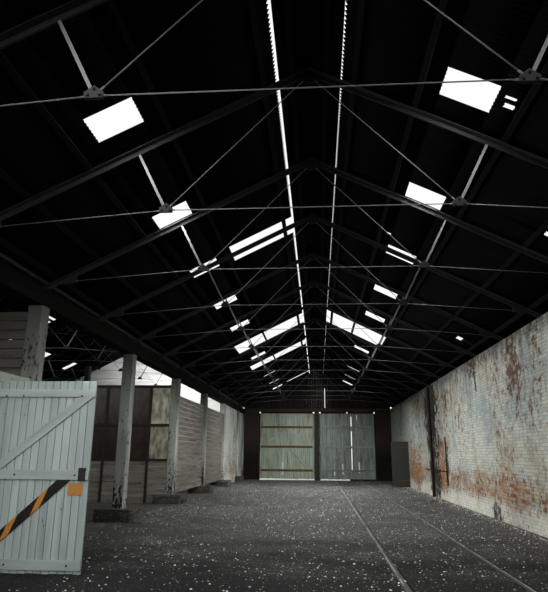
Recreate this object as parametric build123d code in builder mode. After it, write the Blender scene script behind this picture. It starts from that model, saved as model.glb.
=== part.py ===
from build123d import *
from math import atan, cos, hypot, sin
import os

# A derelict goods shed used as a factory: a brick-sided nave under an iron-tied roof, and a
# parallel side bay three trusses shorter, with a timber arcade and a valley gutter between them.
# Millimetres. +Z is up and the ground is at z = 0. The arcade line is x = 0, the nave lies to +X,
# the side bay to -X. +Y runs along the nave, from the near gable to the far gable.

# Plan
bay_pitch = 2512                # truss to truss
nave_bays = 15
side_bays = 12                  # the side bay stops three trusses short of the far gable
clear_span = 9200               # between wall face and arcade, the same in both bays
arcade_width = 280              # square arcade posts, and the beam on them
wall_thickness = 300            # its outer top edge stays just under the sheets
floor_thickness = 120
nave_length = nave_bays * bay_pitch
near_y = -nave_length / 2       # inner plane of both near gables
far_y = nave_length / 2         # inner plane of the nave's far gable
side_far_y = near_y + side_bays * bay_pitch
arcade_face = arcade_width / 2
nave_axis = arcade_face + clear_span / 2
wall_inner = arcade_face + clear_span
wall_outer = wall_inner + wall_thickness

# Roof slopes
wall_height = 4433              # top of walls and arcade beam, above ground
roof_rise = 0.5                 # rise for each unit of run
roof_angle = atan(roof_rise)
half_span = clear_span / 2
ridge_height = wall_height + roof_rise * half_span      # underside of the rafters at the ridge

# Roof trusses
truss_iron = 20                 # thickness of webs, struts and rods between the cheek plates
rafter_web = 64
rafter_flange = 12
rafter_flange_width = 160
rafter_bearing = 100            # length of the rafter foot on the wall
tie_node_out = 1889             # tie joint, from the nave's centre line
tie_node_height = 4770
tie_foot_out = half_span - 390  # where the outer tie meets the rafter
tie_foot_gap = 41               # its axis under the rafter there
strut_width = 34
node_clearance = 34             # rods and struts stop this far from the joint's centre
apex_clearance = 80
cheek_thickness = 10
heel_inner = tie_foot_out - 90
heel_outer = tie_foot_out + 210
heel_drop = 110                 # lower corner of the heel plates under the rafter

# Purlins and sheets
purlin_width = 75
purlin_depth = 62
ridge_purlin_out = 240
lowest_purlin = half_span - 150
right_purlins = (620, 1400, 2500, 3550, lowest_purlin)
left_purlins = (620, 1880, 2950, 3750, lowest_purlin)
sheet_thickness = 22
ridge_cap_half = 412
daylight_slit = 52              # open line between the ridge capping and the sheets
rooflight_length = 530          # along the ridge
rooflight_pitch = 2975
first_rooflight = near_y + 3615
rooflight_count = 12
lost_rooflight = 8              # the nave's pair here is sheeted over
right_rooflight = (1640, 2220)
left_rooflight = (2130, 2700)
valley_edge = half_span + 60    # over the gutter
eaves_edge = half_span + 380
verge = 200

# Sheets that have gone, from the near gable's inner plane
right_slots = ((20680, 22620),)
left_slots = ((21190, 22670), (26220, 27250))
left_short_slots = ((12300, 13220), (35780, 36570))
short_slot_end = 1800

# Arcade
beam_depth = 313
post_height = wall_height - beam_depth
plinth_height = 280
plinth_width = 900
plinth_depth = 980
first_post = near_y + 2 * bay_pitch
post_pitch = 2 * bay_pitch
post_count = 7
boarding_thickness = 40
boarding_height = 3500
brick_face = 50                 # the brick filling stands back from the posts' nave face
screen_height = 2720
gutter_half = 120
gutter_depth = 60
gutter_iron = 4

# End walls of the nave
pier_inner = half_span - 960     # half the width of the end doorway
centre_post = 300
lintel_bottom = wall_height - 193
gable_thickness = 60
gable_slit_out = 520
gable_slit_width = 40
gable_slit_foot = wall_height + 60
gable_slit_height = 1210

# Doors
leaf_boards = 32
leaf_batten = 28
door_gap = 10
hinge_radius = 14
hinge_offset = 17               # from the pin to the boards' back face
hinge_height = 40
strap_thickness = 8
hinge_play = 0.3
far_leaf_set_back = 60
far_leaf_bottom = 170
far_leaf_top = lintel_bottom - 80
leaf_slit_from = 1450           # open joint in the far right leaf, from its hinge
leaf_slit_width = 50
leaf_slit_bottom = 760
leaf_slit_top = far_leaf_top - 210
arcade_hinge_y = near_y + 8710
arcade_leaf_width = 1610
arcade_leaf_bottom = 150
arcade_leaf_top = screen_height - 50
latch_plate = (1330, 1540, 1130, 1290)      # from the hinge and above ground
latch_box = (1470, 1570, 1320, 1490)
latch_plate_thickness = 6
latch_box_thickness = 40
door_post = 140
side_hinge_y = near_y + 30980
side_leaf_width = 850
side_leaf_bottom = 140
side_leaf_top = 2320

# Side bay partitions
near_partition_y = near_y + 10100
near_partition_top = post_height - 60
window_partition_y = near_y + 19950
partition_height = 3900
window_sill = 1410
window_transom = 2530
mullion_width = 90
mullion_pitch = 750
first_mullion = -810
mullion_count = 1 + int((wall_inner + first_mullion - mullion_width) / mullion_pitch)
rail_depth = 90
glass_thickness = 6
stanchion_x = -510
stanchion_y = near_y + 13680
stanchion_width = 120
stanchion_top = 3620

# Rails and pipes
rail_gauge_centres = 1500
inner_rail_x = nave_axis + 1140
rail_foot = 110
rail_head = 66
rail_height = 70                # set into the floor, with its head level with it
rail_web_half = 10
rail_foot_edge = 10
rail_foot_root = 18
rail_head_root = 42
rail_head_edge = 48
downpipe_y = near_y + 24680
downpipe_radius = 55
downpipe_top = wall_height - 120
conduit_y = near_y + 22180
conduit_radius = 22
conduit_bottom = 650
conduit_top = 2310
pipe_play = 0.3                 # between a pipe and the wall

os.makedirs("parts", exist_ok=True)


def save(builder, label):
    builder.part.label = label
    export_step(builder.part, f"parts/{label}.step")


def block(x1, x2, y1, y2, z1, z2, mode=Mode.ADD):
    """An upright box between two corners."""
    with Locations(((x1 + x2) / 2, (y1 + y2) / 2, (z1 + z2) / 2)):
        Box(abs(x2 - x1), abs(y2 - y1), abs(z2 - z1), mode=mode)


def prism(outline, y1, y2, mode=Mode.ADD):
    """An outline in x and z, carried from y1 to y2."""
    with BuildSketch(Plane(origin=(0, y2, 0), x_dir=(1, 0, 0), z_dir=(0, -1, 0))) as profile:
        with BuildLine():
            Polyline(*outline, close=True)
        make_face()
    extrude(profile.sketch, amount=y2 - y1, mode=mode)


def cylinder_up(x, y, z1, z2, radius):
    with Locations((x, y, (z1 + z2) / 2)):
        Cylinder(radius, z2 - z1)


# Where things are on a roof slope
#
# A slope is named by the centre line of its nave and its side, +1 or -1. A point on it is a
# distance out from the centre line and a height measured square to the rafters' underside.

def underside(out):
    return ridge_height - roof_rise * out


def slope_point(axis, side, out, lift):
    """Point straight above `out`, `lift` square off the rafter underside."""
    return axis + side * out, underside(out) + lift / cos(roof_angle)


def square_point(axis, side, foot, lift):
    """Point `lift` along the slope's normal that starts at `foot` on the rafter underside."""
    return (axis + side * (foot + lift * sin(roof_angle)),
            underside(foot) + lift * cos(roof_angle))


rafter_depth = rafter_web + rafter_flange
sheet_base = rafter_depth + purlin_depth
sheet_top = sheet_base + sheet_thickness
axes = (nave_axis, -nave_axis)
nave_truss_ys = [near_y + (k + 1) * bay_pitch for k in range(nave_bays - 1)]
side_truss_ys = nave_truss_ys[:side_bays - 1]
axis_trusses = {nave_axis: nave_truss_ys, -nave_axis: side_truss_ys}
axis_ends = {nave_axis: far_y, -nave_axis: side_far_y}


def at_trusses(member, label):
    """Repeats one truss's members at every truss of both naves. `member` draws them for an axis."""
    patterns = {}
    for axis in axis_trusses:
        with BuildPart() as pattern:
            member(axis)
        patterns[axis] = pattern.part
    with BuildPart() as result:
        for axis, places in axis_trusses.items():
            with Locations(*[(0, y, 0) for y in places]):
                add(patterns[axis])
    save(result, label)


# Roof trusses: T-iron rafters, one strut square to each, and round ties between cheek plates

def rafter(axis, side):
    outlines = (
        ([(0, 0), (half_span, 0), (half_span + rafter_bearing, None),
          (half_span + rafter_bearing, rafter_web), (0, rafter_web)], truss_iron),
        ([(0, rafter_web), (half_span + rafter_bearing, rafter_web),
          (half_span + rafter_bearing, rafter_depth), (0, rafter_depth)], rafter_flange_width),
    )
    for outline, width in outlines:
        points = [(axis + side * out, wall_height) if lift is None
                  else slope_point(axis, side, out, lift) for out, lift in outline]
        prism(points, -width / 2, width / 2)


def bar(start, end, width, sides):
    """A straight bar in the truss plane: flat (4 sides) or a faceted round rod (6 sides)."""
    run, rise = end[0] - start[0], end[1] - start[1]
    length = hypot(run, rise)
    along = (run / length, 0, rise / length)
    across = (-rise / length, 0, run / length)
    with BuildSketch(Plane(origin=(start[0], 0, start[1]), x_dir=across, z_dir=along)) as section:
        if sides == 4:
            Rectangle(width, truss_iron)
        else:
            RegularPolygon(radius=width / 2, side_count=sides, major_radius=False)
    extrude(section.sketch, amount=length)


def shortened(start, end, cut_start, cut_end):
    run, rise = end[0] - start[0], end[1] - start[1]
    length = hypot(run, rise)
    ux, uz = run / length, rise / length
    return ((start[0] + ux * cut_start, start[1] + uz * cut_start),
            (end[0] - ux * cut_end, end[1] - uz * cut_end))


strut_length = (ridge_height - roof_rise * tie_node_out - tie_node_height) * cos(roof_angle)


def struts(axis):
    for side in (1, -1):
        node = (axis + side * tie_node_out, tie_node_height)
        head = (node[0] + side * strut_length * sin(roof_angle),
                node[1] + strut_length * cos(roof_angle))
        start, end = shortened(node, head, node_clearance, 0)
        bar(start, end, strut_width, 4)


def tie_rods(axis):
    left, right = ((axis + side * tie_node_out, tie_node_height) for side in (-1, 1))
    bar(*shortened(left, right, node_clearance, node_clearance), truss_iron, 6)
    for side in (1, -1):
        node = (axis + side * tie_node_out, tie_node_height)
        apex = (axis, ridge_height)
        foot = (axis + side * tie_foot_out, underside(tie_foot_out) - tie_foot_gap)
        bar(*shortened(node, apex, node_clearance, apex_clearance), truss_iron, 6)
        bar(*shortened(node, foot, node_clearance, 0), truss_iron, 6)


def cheeks(points):
    """A pair of plates either side of the irons."""
    for near in (truss_iron / 2, -truss_iron / 2 - cheek_thickness):
        prism(points, near, near + cheek_thickness)


node_plate = ((-84, -30), (84, -30), (90, 26), (0, 96), (-90, 26))
apex_plate = ((0, 58), (110, 4), (70, -125), (-70, -125), (-110, 4))
heel_top = rafter_web - 12


def truss_plates(axis):
    cheeks([(axis + x, ridge_height + z) for x, z in apex_plate])
    for side in (1, -1):
        node_x = axis + side * tie_node_out
        cheeks([(node_x + side * x, tie_node_height + z) for x, z in node_plate])
        cheeks([(axis + side * heel_inner, underside(heel_inner) - heel_drop),
                slope_point(axis, side, heel_outer, 0),
                slope_point(axis, side, heel_outer, heel_top),
                slope_point(axis, side, heel_inner, heel_top)])


at_trusses(lambda axis: rafter(axis, 1), "rafters_right_slopes")
at_trusses(lambda axis: rafter(axis, -1), "rafters_left_slopes")
at_trusses(struts, "truss_struts")
at_trusses(tie_rods, "truss_tie_rods")
at_trusses(truss_plates, "truss_cheek_plates")


# Purlins, ridge capping and roof sheets

def purlin(axis, side, out):
    foot = out - (rafter_depth + purlin_depth / 2) * sin(roof_angle)
    half = purlin_width / 2 * cos(roof_angle)
    corners = ((foot - half, rafter_depth), (foot + half, rafter_depth),
               (foot + half, sheet_base), (foot - half, sheet_base))
    prism([square_point(axis, side, f, lift) for f, lift in corners], near_y, axis_ends[axis])


with BuildPart() as purlins:
    for nave in axes:
        for slope, places in ((1, right_purlins), (-1, left_purlins)):
            for place in (ridge_purlin_out,) + places:
                purlin(nave, slope, place)
save(purlins, "purlins")

with BuildPart() as ridge_capping:
    for nave in axes:
        prism([slope_point(nave, -1, ridge_cap_half, sheet_base),
               slope_point(nave, 1, 0, sheet_base),
               slope_point(nave, 1, ridge_cap_half, sheet_base),
               slope_point(nave, 1, ridge_cap_half, sheet_top),
               slope_point(nave, 1, 0, sheet_top),
               slope_point(nave, -1, ridge_cap_half, sheet_top)],
              near_y - verge, axis_ends[nave] + verge)
save(ridge_capping, "ridge_capping")


def stretches(start, end, gaps):
    """What is left of a line from start to end once the gaps are taken out."""
    left = []
    for low, high in sorted(gaps):
        if high <= start or low >= end:
            continue
        if low > start:
            left.append((start, low))
        start = max(start, high)
    if start < end:
        left.append((start, end))
    return left


def from_near_end(gaps):
    return [(near_y + low, near_y + high) for low, high in gaps]


def rooflights(axis):
    starts = [first_rooflight + k * rooflight_pitch for k in range(rooflight_count)
              if axis < 0 or k != lost_rooflight]
    return [(start, start + rooflight_length) for start in starts]


top_edge = ridge_cap_half + daylight_slit
slope_bands = {
    1: ((top_edge, right_rooflight[0]), right_rooflight, (right_rooflight[1], right_purlins[2])),
    -1: ((top_edge, left_rooflight[0]), left_rooflight, (left_rooflight[1], left_purlins[2])),
}
lost_sheets = {
    (nave_axis, 1): (right_slots, ()),
    (nave_axis, -1): (left_slots, left_short_slots),
    (-nave_axis, 1): ((), ()),
    (-nave_axis, -1): ((), ()),
}


def sheet(axis, side, band, stretch):
    inner, outer = band
    prism([slope_point(axis, side, inner, sheet_base), slope_point(axis, side, outer, sheet_base),
           slope_point(axis, side, outer, sheet_top), slope_point(axis, side, inner, sheet_top)],
          *stretch)


def sheet_band(index, label):
    with BuildPart() as band_sheets:
        for (axis, side), (slots, short_slots) in lost_sheets.items():
            gaps = from_near_end(slots)
            if index == 0:
                gaps += from_near_end(short_slots)
            if index == 1:
                gaps += rooflights(axis)
            for stretch in stretches(near_y - verge, axis_ends[axis] + verge, gaps):
                sheet(axis, side, slope_bands[side][index], stretch)
            if index == 2:
                for stretch in from_near_end(short_slots):
                    sheet(axis, side, (short_slot_end, left_rooflight[0]), stretch)
    save(band_sheets, label)


sheet_band(0, "roof_sheets_by_ridge")
sheet_band(1, "roof_sheets_between_rooflights")
sheet_band(2, "roof_sheets_under_rooflights")

with BuildPart() as eaves_sheets:
    for nave in axes:
        for slope in (1, -1):
            lowest = eaves_edge if nave * slope > 0 else valley_edge
            sheet(nave, slope, (slope_bands[slope][2][1], lowest),
                  (near_y - verge, axis_ends[nave] + verge))
save(eaves_sheets, "roof_sheets_at_eaves")

gutter_bottom = slope_point(nave_axis, -1, nave_axis - gutter_half, rafter_depth)[1] + hinge_play
with BuildPart() as valley_gutter:
    block(-gutter_half, gutter_half, near_y - verge, far_y + verge,
          gutter_bottom, gutter_bottom + gutter_depth)
    block(gutter_iron - gutter_half, gutter_half - gutter_iron, near_y - verge, far_y + verge,
          gutter_bottom + gutter_iron, gutter_bottom + gutter_depth, mode=Mode.SUBTRACT)
save(valley_gutter, "valley_gutter")


# Floors, rails and walls

rail_xs = (inner_rail_x, inner_rail_x + rail_gauge_centres)
with BuildPart() as nave_floor:
    block(-arcade_face, wall_inner, near_y, far_y, 0, floor_thickness)
    for x in rail_xs:
        block(x - rail_foot / 2, x + rail_foot / 2, near_y, far_y,
              floor_thickness - rail_height, floor_thickness, mode=Mode.SUBTRACT)
save(nave_floor, "nave_floor")

with BuildPart() as side_floor:
    block(-wall_inner, -arcade_face, near_y, side_far_y, 0, floor_thickness)
save(side_floor, "side_bay_floor")

rail_base = floor_thickness - rail_height
with BuildPart() as rails:
    for x in rail_xs:
        half = ((rail_foot / 2, 0), (rail_foot / 2, rail_foot_edge),
                (rail_web_half, rail_foot_root), (rail_web_half, rail_head_root),
                (rail_head / 2, rail_head_edge), (rail_head / 2, rail_height))
        prism([(x + out, rail_base + up) for out, up in half]
              + [(x - out, rail_base + up) for out, up in reversed(half)], near_y, far_y)
save(rails, "floor_rails")

doorway_near = side_hinge_y - door_gap
doorway_far = side_hinge_y + side_leaf_width + door_gap
doorway_top = side_leaf_top + door_gap
with BuildPart() as wall_near:
    block(wall_inner, wall_outer, near_y - wall_thickness, doorway_near, 0, wall_height)
save(wall_near, "right_wall_near_part")
with BuildPart() as wall_at_door:
    block(wall_inner, wall_outer, doorway_near, doorway_far, doorway_top, wall_height)
    block(wall_inner, wall_outer, doorway_near, doorway_far, 0, floor_thickness)
save(wall_at_door, "right_wall_at_doorway")
with BuildPart() as wall_far:
    block(wall_inner, wall_outer, doorway_far, far_y + wall_thickness, 0, wall_height)
save(wall_far, "right_wall_far_part")

with BuildPart() as left_wall:
    block(-wall_outer, -wall_inner, near_y - wall_thickness, side_far_y + wall_thickness,
          0, wall_height)
save(left_wall, "side_bay_wall")

# Arcade: posts on concrete blocks, beam, brick filling, boarding and the screen with its doorway

ends = ((near_y, -1), (far_y, 1))
post_ys = [first_post + k * post_pitch for k in range(post_count)]
block_top = floor_thickness + plinth_height
with BuildPart() as arcade_posts:
    for y in post_ys:
        block(-arcade_face, arcade_face, y - arcade_face, y + arcade_face, block_top, post_height)
    for y, outward in ends:
        block(-arcade_face, arcade_face, y, y + outward * wall_thickness, 0, post_height)
save(arcade_posts, "arcade_posts")

with BuildPart() as arcade_plinths:
    for y in post_ys:
        block(-plinth_depth / 2, plinth_depth / 2, y - plinth_width / 2, y + plinth_width / 2,
              floor_thickness, block_top)
    chamfer(arcade_plinths.edges().filter_by(Axis.Z), 60)
save(arcade_plinths, "arcade_plinths")

with BuildPart() as arcade_beam:
    block(-arcade_face, arcade_face, near_y - wall_thickness, far_y + wall_thickness,
          post_height, wall_height)
save(arcade_beam, "arcade_beam")


def arcade_bay(first, last):
    """Clear stretch of the arcade line between two posts, counted from 0 at the near gable."""
    start = post_ys[first] + arcade_face
    end = post_ys[last] - arcade_face if last < post_count else far_y
    return start, end


with BuildPart() as brick_filling:
    for place in (5, 6):
        block(-arcade_face, brick_face, *arcade_bay(place, place + 1), floor_thickness, post_height)
    add(arcade_plinths.part, mode=Mode.SUBTRACT)
save(brick_filling, "arcade_brick_filling")

with BuildPart() as arcade_boarding:
    for place in (3, 4):
        start, end = arcade_bay(place, place + 1)
        block(-boarding_thickness / 2, boarding_thickness / 2, start, end,
              block_top, floor_thickness + boarding_height)
save(arcade_boarding, "arcade_boarding")

door_post_near = arcade_hinge_y - arcade_leaf_width - door_gap
door_post_far = arcade_hinge_y + door_gap
with BuildPart() as door_posts:
    for y in (door_post_near - door_post, door_post_far):
        block(-door_post / 2, door_post / 2, y, y + door_post, floor_thickness, screen_height)
save(door_posts, "arcade_door_posts")

screen_start, screen_end = arcade_bay(0, 1)
with BuildPart() as door_head:
    block(-door_post / 2, door_post / 2, screen_start, screen_end,
          screen_height, screen_height + door_post)
save(door_head, "arcade_door_head")

with BuildPart() as arcade_screens:
    plinth_reach = plinth_width / 2 - arcade_face
    for start, end in ((screen_start + plinth_reach, door_post_near - door_post),
                       (door_post_far + door_post, screen_end - plinth_reach)):
        block(-boarding_thickness / 2, boarding_thickness / 2, start, end,
              floor_thickness, screen_height)
save(arcade_screens, "arcade_screens")


# End walls of the nave and gables of the side bay

with BuildPart() as end_piers:
    for y, outward in ends:
        for side in (1, -1):
            inner, outer = nave_axis + side * pier_inner, nave_axis + side * half_span
            block(inner, outer, y, y + outward * wall_thickness, 0, lintel_bottom)
save(end_piers, "nave_end_piers")

with BuildPart() as centre_posts:
    for y, outward in ends:
        block(nave_axis - centre_post / 2, nave_axis + centre_post / 2,
              y, y + outward * centre_post, 0, lintel_bottom)
save(centre_posts, "nave_end_centre_posts")

with BuildPart() as end_lintels:
    for y, outward in ends:
        block(nave_axis - half_span, nave_axis + half_span,
              y, y + outward * centre_post, lintel_bottom, wall_height)
save(end_lintels, "nave_end_lintels")


def gable_outline(axis, base):
    return [(axis - half_span, base), (axis + half_span, base),
            slope_point(axis, 1, half_span, sheet_base), slope_point(axis, 1, 0, sheet_base),
            slope_point(axis, -1, half_span, sheet_base)]


with BuildPart() as nave_gables:
    for y, outward in ends:
        low, high = sorted((y, y + outward * gable_thickness))
        prism(gable_outline(nave_axis, wall_height), low, high)
    slit_x = nave_axis + gable_slit_out
    block(slit_x - gable_slit_width / 2, slit_x + gable_slit_width / 2, far_y,
          far_y + gable_thickness, gable_slit_foot, gable_slit_foot + gable_slit_height,
          mode=Mode.SUBTRACT)
save(nave_gables, "nave_gables")

with BuildPart() as side_gables:
    for y, outward in ((near_y, -1), (side_far_y, 1)):
        low, high = sorted((y, y + outward * gable_thickness))
        prism(gable_outline(-nave_axis, 0), low, high)
    add(arcade_plinths.part, mode=Mode.SUBTRACT)
    block(-wall_inner, -arcade_face, side_far_y, side_far_y + gable_thickness,
          0, floor_thickness, mode=Mode.SUBTRACT)
save(side_gables, "side_bay_gables")


# Partitions in the side bay

with BuildPart() as near_partition:
    block(-wall_inner, -arcade_face, near_partition_y, near_partition_y + boarding_thickness,
          floor_thickness, near_partition_top)
    add(arcade_plinths.part, mode=Mode.SUBTRACT)
save(near_partition, "side_bay_boarded_partition")

window_y = (window_partition_y, window_partition_y + mullion_width)
mullion_xs = [first_mullion - k * mullion_pitch for k in range(mullion_count)]
with BuildPart() as mullions:
    for x in mullion_xs:
        block(x - mullion_width / 2, x + mullion_width / 2, *window_y,
              floor_thickness, partition_height - rail_depth)
save(mullions, "window_partition_posts")


def window_bays():
    """Clear stretches between the partition's posts, from the arcade to the outer wall."""
    edges = [-arcade_face] + [x for m in mullion_xs
                                   for x in (m + mullion_width / 2, m - mullion_width / 2)]
    edges.append(-wall_inner)
    return [(edges[i + 1], edges[i]) for i in range(0, len(edges), 2)]


with BuildPart() as window_rails:
    for low, high in window_bays():
        for z in (window_sill, window_transom):
            block(low, high, *window_y, z, z + rail_depth)
    block(-wall_inner, -arcade_face, *window_y, partition_height - rail_depth, partition_height)
save(window_rails, "window_partition_rails")

panel_y = window_partition_y + mullion_width / 2
with BuildPart() as window_panels:
    for low, high in window_bays():
        block(low, high, panel_y - boarding_thickness / 2, panel_y + boarding_thickness / 2,
              floor_thickness, window_sill)
    add(arcade_plinths.part, mode=Mode.SUBTRACT)
save(window_panels, "window_partition_panels")

with BuildPart() as window_glass:
    for low, high in window_bays():
        for z1, z2 in ((window_sill + rail_depth, window_transom),
                       (window_transom + rail_depth, partition_height - rail_depth)):
            block(low, high, panel_y - glass_thickness / 2, panel_y + glass_thickness / 2, z1, z2)
save(window_glass, "window_partition_glass")

with BuildPart() as stanchion:
    block(stanchion_x - stanchion_width / 2, stanchion_x + stanchion_width / 2,
          stanchion_y - stanchion_width / 2, stanchion_y + stanchion_width / 2,
          floor_thickness, stanchion_top)
save(stanchion, "side_bay_stanchion")

with BuildPart() as wall_pipes:
    cylinder_up(wall_inner - downpipe_radius - pipe_play, downpipe_y, floor_thickness,
                downpipe_top, downpipe_radius)
    cylinder_up(wall_inner - conduit_radius - pipe_play, conduit_y, conduit_bottom, conduit_top,
                conduit_radius)
save(wall_pipes, "wall_pipes")


# Doors. Each leaf is boards with ledges and braces on one face, and hangs on strap hinges whose
# knuckles stand on fixed pintles.

class Door:
    """A leaf in plan: hinge point, direction of the leaf, and the side its thickness lies on."""

    def __init__(self, hinge, along, inward, width, bottom, top):
        self.hinge, self.along, self.inward = hinge, along, inward
        self.width, self.bottom, self.top = width, bottom, top

    def place(self, distance, depth):
        return (self.hinge[0] + self.along[0] * distance + self.inward[0] * depth,
                self.hinge[1] + self.along[1] * distance + self.inward[1] * depth)

    def slab(self, start, end, depth1, depth2, z1, z2, mode=Mode.ADD):
        (x1, y1), (x2, y2) = self.place(start, depth1), self.place(end, depth2)
        block(x1, x2, y1, y2, z1, z2, mode)

    def boards(self, label, slit=None):
        """The boards as one sheet, with an open joint if `slit` gives its two sides."""
        back, front = hinge_offset, hinge_offset + leaf_boards
        with BuildPart() as leaf:
            self.slab(0, self.width, back, front, self.bottom, self.top)
            if slit:
                self.slab(*slit, back, front, leaf_slit_bottom, leaf_slit_top, Mode.SUBTRACT)
        save(leaf, label)

    def battens(self, label, ledges, ends=0):
        """Level ledges, each given by its middle height and its depth."""
        near = hinge_offset + leaf_boards
        with BuildPart() as ledge_bars:
            for z, depth in ledges:
                self.slab(ends, self.width - ends, near, near + leaf_batten,
                          z - depth / 2, z + depth / 2)
        save(ledge_bars, label)

    def braces(self, label, runs, depth):
        """Sloping bars between (distance, height) points on the ledge side, cut off level."""
        near = hinge_offset + leaf_boards
        normal = (self.inward[0], self.inward[1], 0)
        x, y = self.place(0, near)
        plane = Plane(origin=(x, y, 0), x_dir=(self.along[0], self.along[1], 0), z_dir=normal)
        up = 1 if plane.y_dir.Z > 0 else -1
        with BuildPart() as brace_bars:
            for (d1, z1), (d2, z2) in runs:
                half = depth * hypot(d2 - d1, z2 - z1) / abs(z2 - z1) / 2
                with BuildSketch(plane) as outline:
                    with BuildLine():
                        Polyline((d1 - half, up * z1), (d1 + half, up * z1),
                                 (d2 + half, up * z2), (d2 - half, up * z2), close=True)
                    make_face()
                extrude(outline.sketch, amount=leaf_batten)
        save(brace_bars, label)

    def straps(self, label, heights, length):
        with BuildPart() as strap_hinges:
            for z in heights:
                cylinder_up(*self.hinge, z + hinge_play, z + hinge_height, hinge_radius)
                self.slab(0, length, hinge_offset - strap_thickness, hinge_offset,
                          z + hinge_play, z + hinge_height)
        save(strap_hinges, label)

    def pintle(self, z, reach):
        """Fixed half of a hinge: a block under the knuckle, on an arm back to the jamb."""
        cylinder_up(*self.hinge, z - hinge_height, z, hinge_radius)
        self.slab(-reach, 0, -hinge_radius, 0, z - hinge_height, z)


hinge_line = pier_inner - door_gap - hinge_radius
far_plane = far_y + far_leaf_set_back + leaf_batten + leaf_boards + hinge_offset
far_width = hinge_line - centre_post / 2 - door_gap
far_right = Door((nave_axis + hinge_line, far_plane), (-1, 0), (0, -1), far_width,
                 far_leaf_bottom, far_leaf_top)
far_left = Door((nave_axis - hinge_line, far_plane), (1, 0), (0, -1), far_width,
                far_leaf_bottom, far_leaf_top)
near_plane = near_y - far_leaf_set_back - leaf_batten - leaf_boards - hinge_offset
near_right = Door((nave_axis + hinge_line, near_plane), (-1, 0), (0, 1), far_width,
                  far_leaf_bottom, far_leaf_top)
near_left = Door((nave_axis - hinge_line, near_plane), (1, 0), (0, 1), far_width,
                 far_leaf_bottom, far_leaf_top)
arcade_door = Door((door_post / 2 + hinge_radius, arcade_hinge_y), (1, 0), (0, -1),
                   arcade_leaf_width, arcade_leaf_bottom, arcade_leaf_top)
side_door = Door((wall_inner - hinge_radius, side_hinge_y), (-1, 0), (0, 1), side_leaf_width,
                 side_leaf_bottom, side_leaf_top)

far_rails = ((690, 130), (2100, 130), (3290, 130))
far_rail_inset = 120
far_straps = (600, 2010, 3200)
far_strap_length = 900
far_brace_depth = 110
brace_spread, brace_apex = 1300, 160        # from the middle of the leaf, at foot and head
open_joint = (leaf_slit_from, leaf_slit_from + leaf_slit_width)
for door, name, slit in ((far_left, "far_left_leaf", None),
                         (far_right, "far_right_leaf", open_joint)):
    door.boards(f"{name}_boards", slit)
    door.battens(f"{name}_rails", far_rails, far_rail_inset)
    door.straps(f"{name}_straps", far_straps, far_strap_length)
    lower = (far_rails[0][0] + far_rails[0][1] / 2, far_rails[1][0] - far_rails[1][1] / 2)
    upper = (far_rails[1][0] + far_rails[1][1] / 2, far_rails[2][0] - far_rails[2][1] / 2)
    middle = far_width / 2
    door.braces(f"{name}_braces", (
        ((middle - brace_spread, upper[0]), (middle - brace_apex, upper[1])),
        ((middle + brace_spread, upper[0]), (middle + brace_apex, upper[1])),
        ((middle + brace_spread, lower[0]), (middle + brace_apex, lower[1])),
    ), far_brace_depth)

with BuildPart() as near_leaves:
    for door in (near_left, near_right):
        front = hinge_offset + leaf_boards
        door.slab(-door_gap - hinge_radius, far_width + door_gap, hinge_offset, front,
                  far_leaf_bottom, far_leaf_top)
        for rail, depth in far_rails:
            door.slab(far_rail_inset, far_width - far_rail_inset, front, front + leaf_batten,
                      rail - depth / 2, rail + depth / 2)
save(near_leaves, "near_end_leaves")

arcade_ledges = ((2500, 110), (1395, 130), (260, 130))
arcade_straps = (360, 2330)
arcade_strap_length = 1100
arcade_brace_depth = 120
upper_brace = (260, arcade_leaf_width - 120)
lower_brace = (150, arcade_leaf_width - 340)
arcade_door.boards("arcade_leaf_boards")
arcade_door.battens("arcade_leaf_ledges", arcade_ledges)
arcade_door.straps("arcade_leaf_straps", arcade_straps, arcade_strap_length)
ledge_edges = [(z - depth / 2, z + depth / 2) for z, depth in arcade_ledges]
arcade_door.braces("arcade_leaf_braces", (
    ((upper_brace[0], ledge_edges[1][1]), (upper_brace[1], ledge_edges[0][0])),
    ((lower_brace[0], ledge_edges[2][1]), (lower_brace[1], ledge_edges[1][0])),
), arcade_brace_depth)
with BuildPart() as arcade_latch:
    board_face = hinge_offset + leaf_boards
    arcade_door.slab(*latch_plate[:2], board_face, board_face + latch_plate_thickness,
                     *latch_plate[2:])
    arcade_door.slab(*latch_box[:2], board_face + leaf_batten, board_face + latch_box_thickness,
                     *latch_box[2:])
save(arcade_latch, "arcade_leaf_latch")

side_ledges = ((2150, 120), (1230, 120), (310, 120))
side_door.boards("side_leaf_boards")
side_door.battens("side_leaf_ledges", side_ledges)
side_straps = (420, 2030)
side_strap_length = 600
side_door.straps("side_leaf_straps", side_straps, side_strap_length)

with BuildPart() as pintles:
    for door in (far_left, far_right):
        for z in far_straps:
            door.pintle(z, door_gap + hinge_radius)
    for z in side_straps:
        side_door.pintle(z, hinge_radius)
    for z in arcade_straps:
        arcade_door.pintle(z, hinge_radius)
save(pintles, "hinge_pintles")
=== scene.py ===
from contextlib import contextmanager
from functools import partial
from math import atan, cos, radians, sin

import bpy
import numpy as np
from bpy.props import FloatProperty, FloatVectorProperty, IntProperty, PointerProperty
from mathutils import Matrix, Vector


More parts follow.
